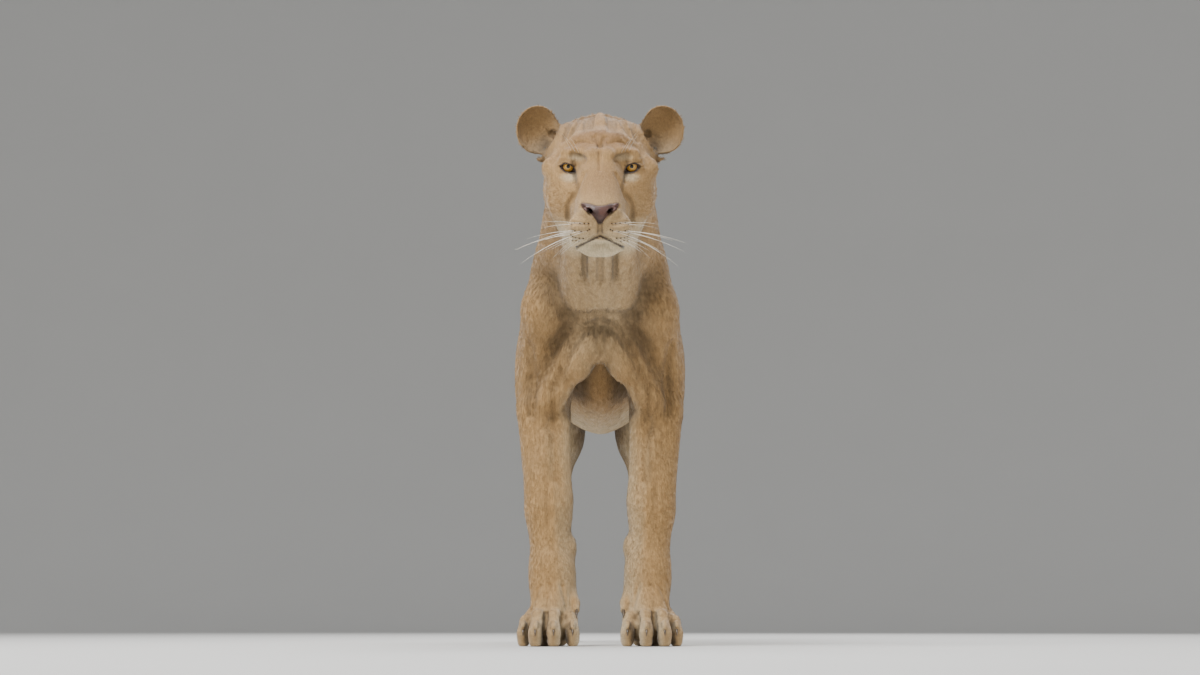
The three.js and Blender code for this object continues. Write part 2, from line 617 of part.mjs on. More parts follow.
// ---- Materials ----------------------------------------------------------------------
const finish = (color, roughness) => new THREE.MeshStandardMaterial({ color, roughness, metalness: 0 });
const COAT = finish(0xb58a58, 0.85);
const COAT_PALE = finish(0xd2b58c, 0.85);
const TUFT = finish(0x2e2219, 0.9);
const LEATHER = finish(0x5a3a33, 0.5);
const EYEBALL = finish(0xb07a26, 0.1);
const CLAW_HORN = finish(0xcdbb98, 0.45);

const lioness = new THREE.Group();
function add(name, solid, material, mirrored = false) {
  const mesh = new THREE.Mesh(geometryOf(solid, mirrored), material);
  mesh.name = name;
  lioness.add(mesh);
}
function addPair(name, solid, material) {
  add(`${name}_left`, solid, material);
  add(`${name}_right`, solid, material, true);
}
const bothSides = (solid, low, high) => solid.subtract(box(low, high))
  .subtract(box([-high[0], low[1], low[2]], [-low[0], high[1], high[2]]));

// ---- Head ---------------------------------------------------------------------------
const headFrame = new THREE.Matrix4().makeTranslation(...HEAD_AT)
  .multiply(new THREE.Matrix4().makeRotationX(HEAD_PITCH * RAD));
const atEye = (side) => headFrame.clone().multiply(new THREE.Matrix4().makeTranslation(side * EYE.x, EYE.y, 0));
const ball = (radius, side) => solidOf(new THREE.SphereGeometry(radius, 12, 8), atEye(side));
const opening = (side) => solidOf(new THREE.SphereGeometry(1, 14, 6), atEye(side)
  .multiply(new THREE.Matrix4().makeTranslation(0, -EYE.radius, 0))
  .multiply(new THREE.Matrix4().makeRotationY(-side * EYE.slant * RAD))
  .multiply(new THREE.Matrix4().makeScale(...EYE.opening)));

// Each ear is parted along a slanting plane through its root.
const EAR_ROOT = { x: 84, z: 962, lean: 22 };
const earFrame = (side) => new THREE.Matrix4().makeTranslation(side * EAR_ROOT.x, 0, EAR_ROOT.z)
  .multiply(new THREE.Matrix4().makeRotationY(-side * EAR_ROOT.lean * RAD));
const earBox = (side, gap) => box([side > 0 ? -gap : -140, -420, -60], [side > 0 ? 140 : gap, -290, 120], 0,
  earFrame(side));
const head = region([-200, -600, 640], [200, HEAD_END - GAP / 2, CROWN], [8, 8, 8], 1330);
// The nose leather is a rounded triangle seen from the front, run back through the muzzle's tip.
function noseBlock(grow) {
  const [top, side, foot] = [NOSE.top + grow, NOSE.half + grow, NOSE.bottom - grow];
  const outline = new THREE.Shape();
  outline.moveTo(-side, top - 7);
  outline.quadraticCurveTo(0, top + 5, side, top - 7);
  outline.quadraticCurveTo(side * 0.9, NOSE.level - grow, NOSE.foot + grow, foot);
  outline.lineTo(-NOSE.foot - grow, foot);
  outline.quadraticCurveTo(-side * 0.9, NOSE.level - grow, -side, top - 7);
  const block = new THREE.ExtrudeGeometry(outline, { depth: NOSE.depth + 2 * grow, bevelEnabled: false, curveSegments: 4 });
  return solidOf(block.rotateX(Math.PI / 2).translate(0, NOSE.back + grow, 0), headFrame);
}
const mouth = headFrame.clone().multiply(new THREE.Matrix4().makeTranslation(0, -34, -134))
  .multiply(new THREE.Matrix4().makeRotationX(-13 * RAD));
const jawBox = (grow) => box([-44, -130, -80], [44, 0, 0], grow, mouth);
let skull = head.subtract(noseBlock(GAP)).subtract(jawBox(GAP));
for (const side of [1, -1]) {
  skull = skull.subtract(earBox(side, GAP)).subtract(ball(EYE.radius + GAP, side)).subtract(opening(side));
}
add("head", largest(skull), COAT);
add("nose", largest(head.intersect(noseBlock(0))), LEATHER);
add("lower_jaw", largest(head.intersect(jawBox(0))), COAT_PALE);
const ear = region([60, -420, 900], [200, HEAD_END - GAP / 2, CROWN], [5, 5, 5], 380);
addPair("ear", largest(ear.intersect(earBox(1, 0))), COAT);
addPair("eye", ball(EYE.radius, 1), EYEBALL);

// ---- Trunk --------------------------------------------------------------------------
const half = GAP / 2;
const armLow = [SHOULDER_INNER, NECK_END - 1, ELBOW];
const armHigh = [SIDE, ARM_REAR, SHOULDER_TOP];
add("neck", region([-SIDE, HEAD_END + half, 560], [SIDE, NECK_END - half, CROWN], [20, 24, 20], 210), COAT);
const chest = region([-SIDE, NECK_END + half, 440], [SIDE, CHEST_END - half, CROWN], [16, 22, 20], 760);
add("chest", largest(bothSides(bothSides(chest, armLow, armHigh),
  [LEG_INNER, NECK_END - 1, 0], [SIDE, ARM_REAR, ELBOW + GAP])), COAT);
add("abdomen", region([-SIDE, CHEST_END + half, 440], [SIDE, ABDOMEN_END - half, CROWN], [26, 40, 26], 190), COAT);
const tailBase = tube(TAIL, TAIL_SIDES, { to: TAIL_MIDDLE });
const tailSocket = tube(TAIL, TAIL_SIDES, { to: TAIL_MIDDLE, grow: GAP });
const rump = region([-SIDE, ABDOMEN_END + half, KNEE], [SIDE, REAR_END, CROWN], [20, 24, 22], 500);
add("rump", largest(bothSides(rump, [THIGH_INNER, THIGH_FRONT, KNEE - 1], [SIDE, REAR_END + 1, THIGH_TOP])
  .subtract(tailSocket)), COAT);

// ---- Legs ---------------------------------------------------------------------------
function claws(paw, table, extra = []) {
  const tips = [...table.map(([, , , tx, ty]) => [tx, ty, TOE_TIP + 14]), ...extra];
  const horn = (tip, grow) => tube(CLAW.radii.map((r, i) => {
    const t = i / (CLAW.radii.length - 1);
    return [tip[0], tip[1] - CLAW.forward * Math.sin(t * 1.9), tip[2] - CLAW.drop * t, r];
  }), CLAW.sides, { grow });
  let solid = paw;
  for (const tip of tips) solid = solid.subtract(horn(tip, GAP));
  return [largest(solid), tips.map((tip) => horn(tip, 0))];
}
function addPaw(name, paw, clawName, table, extra) {
  const [solid, horns] = claws(paw, table, extra);
  addPair(name, solid, COAT);
  horns.forEach((horn, i) => addPair(`${clawName}_${i + 1}`, horn, CLAW_HORN));
}
const armFront = NECK_END - 40;
const shoulder = region([SHOULDER_INNER + GAP, NECK_END + half, ELBOW + GAP],
  [SIDE, ARM_REAR - GAP, SHOULDER_TOP - GAP], [16, 20, 20], 210);
addPair("shoulder", shoulder, COAT);
addPair("forearm", region([LEG_INNER, armFront, WRIST + GAP], [SIDE, ARM_REAR, ELBOW], [12, 13, 20], 180), COAT);
addPaw("forepaw", region([LEG_INNER, armFront, 0], [SIDE, ARM_REAR, WRIST], [7, 8, 8], 390), "claw_fore",
  FORE_TOES, [[47, -46, 74]]);
addPair("thigh", region([THIGH_INNER + GAP, THIGH_FRONT + GAP, KNEE + GAP],
  [SIDE, REAR_END, THIGH_TOP - GAP], [18, 20, 20], 190), COAT);
addPair("shank", region([LEG_INNER, THIGH_FRONT, HOCK + GAP], [SIDE, REAR_END, KNEE], [12, 14, 16], 160), COAT);
addPair("hind_foot", region([LEG_INNER, THIGH_FRONT, INSTEP + GAP], [SIDE, REAR_END, HOCK], [10, 12, 16], 120), COAT);
addPaw("hindpaw", region([LEG_INNER, THIGH_FRONT, 0], [SIDE, REAR_END, INSTEP], [7, 8, 8], 300), "claw_hind",
  HIND_TOES);

// ---- Tail ---------------------------------------------------------------------------
// Three lengths, each parted from the next by a thin gap across the tail's run.
add("tail_base", tailBase, COAT);
add("tail_middle", tube(TAIL, TAIL_SIDES, { from: TAIL_MIDDLE, to: TAIL_TUFT, reach: [-GAP, -GAP] }), COAT);
add("tail_tuft", tube(TAIL, TAIL_SIDES, { from: TAIL_TUFT }), TUFT);

// Origin at the middle of the footprint, on the ground.
const bounds = new THREE.Box3().setFromObject(lioness);
lioness.position.y = -(bounds.min.y + bounds.max.y) / 2;

export default lioness;
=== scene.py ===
"""Looks of a standing lioness: one skin, a short tawny coat, eyes, nose, claws and whiskers."""
import logging
import math
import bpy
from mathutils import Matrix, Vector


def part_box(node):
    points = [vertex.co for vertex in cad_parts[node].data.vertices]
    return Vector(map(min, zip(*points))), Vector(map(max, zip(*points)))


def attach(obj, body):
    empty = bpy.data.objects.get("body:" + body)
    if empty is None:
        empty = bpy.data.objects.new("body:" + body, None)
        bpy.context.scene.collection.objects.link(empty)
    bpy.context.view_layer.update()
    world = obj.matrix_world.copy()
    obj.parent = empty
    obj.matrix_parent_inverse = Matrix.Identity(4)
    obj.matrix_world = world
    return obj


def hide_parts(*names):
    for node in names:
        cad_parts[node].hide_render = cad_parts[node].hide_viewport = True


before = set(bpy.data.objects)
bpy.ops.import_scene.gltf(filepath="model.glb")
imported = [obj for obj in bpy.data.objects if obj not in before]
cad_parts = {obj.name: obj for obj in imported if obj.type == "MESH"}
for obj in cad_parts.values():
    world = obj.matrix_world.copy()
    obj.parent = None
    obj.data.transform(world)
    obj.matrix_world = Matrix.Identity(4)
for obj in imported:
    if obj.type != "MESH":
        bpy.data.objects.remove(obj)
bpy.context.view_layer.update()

from concurrent.futures import ThreadPoolExecutor
from dataclasses import dataclass, field
from enum import Enum
from typing import Callable, Iterable, Sequence

import bmesh
import bpy
import numpy as np
from mathutils import Vector

LOG = logging.getLogger("lioness")
MM = 0.001
# A distance beyond every form, and how single points are shared out among threads
FAR = 1e3
BATCH, WORKERS = 1500, 4
Array = np.ndarray
Point = tuple[float, float, float]
Field = Callable[[Array, Array, Array], Array]

# ---- Forms: signed distances in millimetres, y along the body, nose towards -y -------


@dataclass(frozen=True)
class Form:
    """One rounded form of the body.

    A cut form is taken away from what stands before it in the list.
    """

    name: str
    distance: Field
    low: Point
    high: Point
    blend: float = 20.0
    cut: bool = False
    sides: tuple[int, ...] = (1, -1)

    def sided(self) -> "Form":
        """Returns the form standing once if it straddles the middle plane."""
        single = abs(self.low[0] + self.high[0]) < 1e-6
        return self.changed(sides=(1,) if single else (1, -1))

    def changed(self, **values: object) -> "Form":
        """Returns a copy with some of its values changed."""
        kept = {k: getattr(self, k) for k in self.__dataclass_fields__}
        return Form(**{**kept, **values})


def taper(name: str, a: Point, b: Point, ra: float, rb: float, flat: float = 1.0,
          blend: float = 20.0, cut: bool = False) -> Form:
    """A tapered capsule from a to b, squeezed across x by flat.

    Args:
        name: What the form is.
        a: Centre of the first end.
        b: Centre of the second end.
        ra: Radius at a.
        rb: Radius at b.
        flat: Width across x as a share of the radius.
        blend: Reach of the smooth join.
        cut: Whether the form is taken away.

    Returns:
        The form.
    """
    start, span = np.array(a, float), np.array(b, float) - np.array(a, float)
    stretch = np.array([1 / flat, 1.0, 1.0])
    axis = span * stretch
    length2 = float(axis @ axis) + 1e-9

    def distance(x: Array, y: Array, z: Array) -> Array:
        """Distance to the capsule."""
        px, py, pz = (x - start[0]) / flat, y - start[1], z - start[2]
        t = np.clip((px * axis[0] + py * axis[1] + pz * axis[2]) / length2, 0, 1)
        gap = np.sqrt((px - t * axis[0]) ** 2 + (py - t * axis[1]) ** 2 + (pz - t * axis[2]) ** 2)
        return (gap - (ra + (rb - ra) * t)) * (flat if flat < 1 else 1.0)

    r = max(ra, rb) * max(1.0, flat)
    low = tuple(min(p, q) - r for p, q in zip(a, b))
    high = tuple(max(p, q) + r for p, q in zip(a, b))
    return Form(name, distance, low, high, blend, cut)


def blob(name: str, c: Point, r: Point, pitch: float = 0.0, roll: float = 0.0, yaw: float = 0.0,
         blend: float = 20.0, cut: bool = False) -> Form:
    """An ellipsoid pitched about x, rolled about y and yawed about z, in degrees.

    Args:
        name: What the form is.
        c: Centre.
        r: Radii.
        pitch: Turn about x.
        roll: Turn about y.
        yaw: Turn about z.
        blend: Reach of the smooth join.
        cut: Whether the form is taken away.

    Returns:
        The form.
    """
    (cp, sp), (cr, sr), (cy, sy) = ((math.cos(math.radians(v)), math.sin(math.radians(v)))
                                    for v in (pitch, roll, yaw))
    reach = max(r)

    def distance(x: Array, y: Array, z: Array) -> Array:
        """Distance to the ellipsoid, first order."""
        px, py, pz = x - c[0], y - c[1], z - c[2]
        u, v = cy * px + sy * py, cy * py - sy * px
        w = sr * u + cr * pz
        q = (cr * u - sr * pz, cp * v + sp * w, cp * w - sp * v)
        k0 = np.sqrt(sum((a / b) ** 2 for a, b in zip(q, r))) + 1e-9
        k1 = np.sqrt(sum((a / b ** 2) ** 2 for a, b in zip(q, r))) + 1e-12
        return k0 * (k0 - 1) / k1

    low, high = tuple(v - reach for v in c), tuple(v + reach for v in c)
    return Form(name, distance, low, high, blend, cut)


def along(rows: Array, column: int) -> Callable[[Array], Array]:
    """A smooth curve through one column of a table.

    Args:
        rows: The stations, with their places in column 0.
        column: The column that the curve goes through.

    Returns:
        A function of the place.
    """
    y, v = rows[:, 0], rows[:, column]
    before, after = np.maximum(np.arange(len(y)) - 1, 0), np.minimum(np.arange(len(y)) + 1, len(y) - 1)
    slope = (v[after] - v[before]) / (y[after] - y[before])

    def at(q: Array) -> Array:
        """Value of the curve at q."""
        k = np.clip(np.searchsorted(y, q) - 1, 0, len(y) - 2)
        h = y[k + 1] - y[k]
        t = (q - y[k]) / h
        t2, t3 = t * t, t ** 3
        return ((2 * t3 - 3 * t2 + 1) * v[k] + (t3 - 2 * t2 + t) * h * slope[k]
                + (3 * t2 - 2 * t3) * v[k + 1] + (t3 - t2) * h * slope[k + 1])

    return at


def smooth_path(points: Sequence[Point], count: int) -> Array:
    """A smooth line through a few points.

    Args:
        points: The points.
        count: How many points the line has.

    Returns:
        The line's points, one per row.
    """
    p = np.array(points, float)
    t = np.linspace(0, len(p) - 1, count)
    rows = np.column_stack([np.arange(len(p)), p])
    return np.stack([along(rows, i)(t) for i in (1, 2, 3)], 1)


def loft(name: str, rows: Sequence[Sequence[float]], top: float = 2.0, bottom: float = 2.0,
         cap: float = 30.0, blend: float = 20.0) -> Form:
    """Egg-shaped sections across y.

    Args:
        name: What the form is.
        rows: Stations of y, top, bottom, half width and height of the widest.
        top: Squareness of the upper half.
        bottom: Squareness of the lower half.
        cap: Rounding of the two ends.
        blend: Reach of the smooth join.

    Returns:
        The form.
    """
    table = np.array(rows, float)
    curves = [along(table, i) for i in (1, 2, 3, 4)]
    y0, y1, wide = table[0, 0], table[-1, 0], float(table[:, 3].max())

    def distance(x: Array, y: Array, z: Array) -> Array:
        """Distance to the lofted body, first order."""
        crest, floor, half, level = (f(np.clip(y, y0, y1)) for f in curves)
        up = z >= level
        h = np.maximum(1.0, np.where(up, crest - level, level - floor))
        n = np.where(up, top, bottom)
        a, b = np.abs(x) / half + 1e-6, np.abs(z - level) / h + 1e-6
        r = (a ** n + b ** n) ** (1 / n)
        d = (r - 1) / (r ** (1 - n) * np.sqrt((a ** (n - 1) / half) ** 2 + (b ** (n - 1) / h) ** 2))
        e = np.maximum(y0 - y, y - y1)
        m = np.maximum(cap - np.abs(d - e), 0) / cap
        return np.maximum(d, e) + m * m * cap / 4

    low = (-wide, y0, float(table[:, 2].min()))
    high = (wide, y1, float(table[:, 1].max()))
    return Form(name, distance, low, high, blend)


def lid_arcs() -> list[tuple[int, float, float]]:
    """Returns side, rise and radius of the arcs of the upper and the lower lid."""
    return [(sign, rise, (EYE_OPENING[0] ** 2 + rise * rise) / (2 * rise))
            for sign, rise in zip((1, -1), EYE_OPENING[1:])]


def lid_gap(x: Array, z: Array) -> Array:
    """Distance from the rim of the eye opening, seen from the front.

    Args:
        x: Places across the head.
        z: Heights in the head's own frame.

    Returns:
        Distances, negative inside the opening.
    """
    c, s = math.cos(math.radians(EYE_SLANT)), math.sin(math.radians(EYE_SLANT))
    px, pz = x - EYE[0] - OPENING_AT[0], z - EYE[2] - OPENING_AT[1]
    u, v = c * px + s * pz, c * pz - s * px
    return np.maximum(*(np.sqrt(u * u + (v + sign * (arc - rise)) ** 2) - arc
                        for sign, rise, arc in lid_arcs()))


def almond(name: str, depth: tuple[float, float], blend: float) -> Form:
    """The almond-shaped eye opening, cut out of what stands before it.

    Args:
        name: What the form is.
        depth: Nearest and farthest y of the cut.
        blend: Rounding of its rim.

    Returns:
        The form.
    """
    def distance(x: Array, y: Array, z: Array) -> Array:
        """Distance to the opening."""
        return np.maximum(lid_gap(x, z) + LID_LAP, np.maximum(depth[0] - y, y - depth[1]))

    reach = EYE_OPENING[0] + 4
    low, high = (EYE[0] - reach, depth[0], EYE[2] - reach), (EYE[0] + reach, depth[1], EYE[2] + reach)
    return Form(name, distance, low, high, blend, True)


def trail(name: str, path: Sequence[Point], radius: float, blend: float, cut: bool) -> Form:
    """A rounded cord along a path, joined or cut as one form.

    Args:
        name: What the form is.
        path: Points of its middle line.
        radius: Its radius.
        blend: Reach of the smooth join.
        cut: Whether it is taken away.

    Returns:
        The form.
    """
    pieces = [taper(name, a, b, radius, radius) for a, b in zip(path, path[1:])]

    def distance(x: Array, y: Array, z: Array) -> Array:
        """Distance to the nearest piece of the cord."""
        gap = pieces[0].distance(x, y, z)
        for piece in pieces[1:]:
            gap = np.minimum(gap, piece.distance(x, y, z))
        return gap

    low = tuple(map(min, zip(*(p.low for p in pieces))))
    high = tuple(map(max, zip(*(p.high for p in pieces))))
    return Form(name, distance, low, high, blend, cut)


def joined(a: Array, b: Array, k: float) -> Array:
    """Joins two distances smoothly.

    Args:
        a: The first.
        b: The second.
        k: Reach of the join.

    Returns:
        The joined distances.
    """
    h = np.maximum(k - np.abs(a - b), 0) / k
    return np.minimum(a, b) - h * h * k / 4


def ramp(value: Array, start: float, end: float) -> Array:
    """Rises smoothly from 0 to 1.

    Args:
        value: The values.
        start: Where it is still 0.
        end: Where it is 1.

    Returns:
        A share for each value.
    """
    t = np.clip((value - start) / (end - start), 0, 1)
    return t * t * (3 - 2 * t)


# ---- Anatomy ------------------------------------------------------------------------

TRUNK = (
    (-340, 958, 756, 84, 850), (-260, 966, 716, 96, 830), (-180, 974, 672, 104, 790),
    (-110, 982, 642, 108, 770), (-40, 990, 610, 114, 752), (40, 992, 564, 134, 730),
    (120, 982, 506, 152, 706), (220, 964, 483, 170, 690), (360, 950, 480, 181, 682),
    (500, 948, 486, 176, 692), (620, 955, 506, 156, 714), (720, 966, 546, 140, 748),
    (830, 966, 600, 126, 778), (920, 940, 664, 112, 800), (985, 898, 730, 88, 812),
)
TAIL = (
    (0, 950, 880, 40), (2, 1010, 872, 30), (8, 1062, 832, 24), (20, 1100, 760, 20.5),
    (40, 1126, 660, 18.5), (68, 1142, 560, 17.5), (96, 1150, 460, 16.5), (116, 1160, 370, 16),
    (126, 1180, 290, 16), (128, 1212, 226, 17), (122, 1256, 192, 15), (114, 1292, 186, 8),
)
CRANIUM = (
    (6, 48, -70, 66, -6), (30, 62, -108, 90, -22), (60, 73, -118, 103, -20),
    (96, 82, -112, 103, -12), (134, 84, -98, 94, 0), (172, 76, -84, 86, 4),
)
MUZZLE = (
    (-127, -52, -100, 26, -80), (-112, -40, -120, 41, -88), (-86, -19, -127, 46, -92),
    (-54, 8, -126, 48, -86), (-20, 34, -122, 48, -76), (20, 56, -112, 60, -58),
)
# Toes: knuckle x, y, z, tip x, tip y, radius, from the inner one outwards
FORE_TOES = (
    (60, -54, 52, 54, -86, 17.5), (91, -72, 56, 91, -108, 18.5),
    (123, -70, 56, 127, -106, 18.5), (147, -46, 47, 152, -76, 17),
)
HIND_TOES = (
    (84, 945, 48, 79, 915, 16), (108, 930, 53, 107, 893, 17),
    (133, 932, 53, 135, 896, 17), (153, 950, 46, 158, 922, 15.5),
)
TOE_TIP, PAD_HEIGHT = 27.0, 13.0
HEAD_AT, HEAD_PITCH = (0.0, -430.0, 882.0), math.radians(23.0)
EYE, EYE_RADIUS, EYE_SLANT = (59.0, 9.0, 0.0), 19.0, 19.0
EYE_OPENING, OPENING_AT, LID_LAP = (14.4, 9.4, 5.4), (1.2, -2.2), 1.5
EAR = dict(pitch=-23, roll=13, yaw=12)
# Half width of the nose leather against its height
LEATHER_EDGE = ((-88, -80, -74, -68, -63, -58, -54, -50), (3, 7, 11, 17, 25, 34, 38, 35))
# Where along the body the head's coat ends, and the tail's and the tuft's begin
HEAD_END, TAIL_START, TUFT_START = (-340, -270), (1070, 1110), (1178, 1222)
# Creases: name, radius (below 0 for a raised roll), reach of the join, path
FACE_CREASES = (
    ("lip_roll", -2.6, 6, ((5, -124, -102), (15, -124, -108), (30, -117, -117), (44, -105, -126),
                           (56, -86, -132))),
    ("lower_lip_roll", -2.2, 5, ((18, -110, -130), (34, -102, -140), (47, -86, -149), (54, -66, -148))),
    ("mouth", 3.4, 2.5, ((0, -122, -110), (15, -121, -118), (30, -113, -127), (44, -100, -136),
                         (53, -84, -141), (58, -62, -138))),
    ("frown_v", 1.3, 5, ((0, -9, 39), (9, 11, 52.5))),
    ("frown_point", 2.2, 4, ((0, -13, 37), (0, -6, 41))),
    ("frown_line", 0.9, 4, ((0, -26, 29), (0, -42, 16), (0, -59, 2.5))),
    ("brow_arc", 0.2, 2.2, ((14, -2.5, 42.5), (28, 8, 45), (43.5, 16, 42), (57, 2, 35))),
    ("crown_fold_1", 1.8, 6, ((69, 56, 44), (57, 96, 72), (52, 126, 80))),
    ("crown_fold_2", 1.8, 6, ((56.5, 45, 49), (41, 86, 76), (38, 124, 88))),
    ("crown_fold_3", 1.8, 6, ((28, 37, 59), (25.5, 98.5, 81), (25, 134, 92))),
    ("crown_fold_4", 1.8, 6, ((18, 32, 59.5), (16, 103, 84), (14, 138, 94))),
    ("brow_hollow", 1.6, 9, ((28, -28, 17), (39, -18, 20), (51, -8, 24))),
    ("cheek_crease", 1.0, 12, ((32, -54.5, -7), (46, -59, -37), (60, -48, -64), (64, -44, -92))),
    ("tear_line", 1.3, 4, ((46.6, -14, -9), (44, -24, -17), (41, -33, -27))),
    ("lid_crease", 1.2, 3, ((48, -10, 11), (57, -13, 15), (67, -10, 14), (79, 0, 8.5))),
    ("philtrum", 2.3, 4, ((0, -128, -86), (0, -124, -97), (0, -119, -109))),
    ("pad_row_1", 0.8, 5, ((21, -127, -86.5), (38, -122, -87), (51, -112, -87))),
    ("pad_row_2", 1.1, 5, ((19.5, -127, -96), (36, -124, -98.5), (53, -112, -99.5))),
    ("pad_row_3", 0.8, 5, ((24, -124, -107), (40, -118, -110), (53, -108, -111))),
    ("ear_shelf", 2.0, 3, ((124, 130, 57), (112, 130, 59), (98, 126, 52), (90, 118, 43))),
    ("ear_fold", 1.4, 3, ((132, 118, 77), (114, 116, 85), (98, 116, 77), (90, 112, 64))),
    ("ear_notch", 2.4, 4, ((128, 106, 17), (118, 100, 12))),
)
BODY_CREASES = (
    ("breast_cleft", 4.0, 6, ((0, -158, 684), (0, -134, 640), (0, -112, 584))),
    ("breast_line", 0.8, 12, ((4, -152, 668), (36, -142, 671), (70, -120, 668))),
    ("breast_edge", 2.4, 12, ((12, -130, 640), (46, -118, 620), (78, -104, 560), (96, -84, 520))),
    ("arm_line", 2.4, 14, ((140, -60, 610), (148, -44, 540), (142, -34, 470))),
    ("elbow_cord", 1.8, 9, ((98, -60, 520), (97, -56, 460), (96, -50, 400), (93, -42, 330))),
    ("wrist_cord", 0.3, 9, ((112, -42, 360), (106, -40, 260), (102, -42, 190))),
    ("paw_cord_1", 0.4, 7, ((82, -38, 118), (76, -48, 76))),
    ("paw_cord_2", 0.4, 7, ((100, -42, 118), (106, -56, 76))),
    ("paw_cord_3", 0.4, 7, ((114, -36, 118), (132, -46, 72))),
    ("toe_gap_1", 3.8, 4, ((77, -70, 62), (74, -96, 40), (73, -98, 16))),
    ("toe_gap_2", 3.8, 4, ((107, -78, 66), (109, -106, 42), (109, -108, 16))),
    ("toe_gap_3", 3.8, 4, ((134, -66, 62), (139, -92, 40), (140, -94, 16))),
    ("hind_gap_1", 2.2, 4, ((96, 934, 60), (93, 908, 38), (93, 906, 16))),
    ("hind_gap_2", 2.2, 4, ((120, 926, 62), (121, 896, 40), (121, 894, 16))),
    ("hind_gap_3", 2.2, 4, ((143, 938, 60), (147, 912, 38), (147, 910, 16))),
    ("throat_line", 0.2, 7, ((0, -350, 744), (0, -250, 716))),
    ("throat_side", 0.2, 6, ((25, -345, 750), (26, -240, 716))),
    ("blade_line", 0.3, 12, ((132, 110, 880), (152, 120, 780), (172, 122, 660))),
    ("flank_line", 0.2, 8, ((150, 560, 600), (138, 660, 580), (122, 740, 560))),
    ("thigh_line", 0.2, 8, ((132, 890, 660), (134, 930, 580), (128, 960, 500))),
)
# How far out the hollows are felt, and how much each reach counts, for the painted shade that darkens the
# coat in them
SHADE_REACHES = ((8, 0.45), (40, 0.52), (110, 0.3))


def pitched(p: Array, angle: float) -> Array:
    """Turns points about x.

    Args:
        p: The points.
        angle: The turn, in radians.

    Returns:
        The turned points.
    """
    c, s = math.cos(angle), math.sin(angle)
    return np.stack([p[..., 0], c * p[..., 1] - s * p[..., 2], s * p[..., 1] + c * p[..., 2]], -1)


def from_head(p: Array) -> Array:
    """Points of the head's own frame, in the body's frame."""
    return pitched(np.asarray(p, float), HEAD_PITCH) + np.array(HEAD_AT)


def to_head(p: Array) -> Array:
    """Points of the body's frame, in the head's own frame."""
    return pitched(np.asarray(p, float) - np.array(HEAD_AT), -HEAD_PITCH)


def leather_edges(x: Array, z: Array) -> tuple[Array, Array]:
    """Returns the nose leather's half width at heights z, and its top edge at places x."""
    return np.interp(z, *LEATHER_EDGE), -54 + 3 * np.minimum(1, (x / 18) ** 2)


def framed(form: Form) -> Form:
    """Turns and moves a form of the head's own frame into the body's.

    Args:
        form: The form.

    Returns:
        The form in the body's frame.
    """
    c, s = math.cos(HEAD_PITCH), math.sin(HEAD_PITCH)
    corners = from_head(np.array([(0, y, z) for y in (form.low[1], form.high[1])
                                  for z in (form.low[2], form.high[2])]))
    low, high = corners.min(0), corners.max(0)

    def distance(x: Array, y: Array, z: Array) -> Array:
        """Distance in the head's own frame."""
        py, pz = y - HEAD_AT[1], z - HEAD_AT[2]
        return form.distance(x - HEAD_AT[0], c * py + s * pz, c * pz - s * py)

    return form.changed(distance=distance, low=(form.low[0], low[1], low[2]),
                        high=(form.high[0], high[1], high[2]))


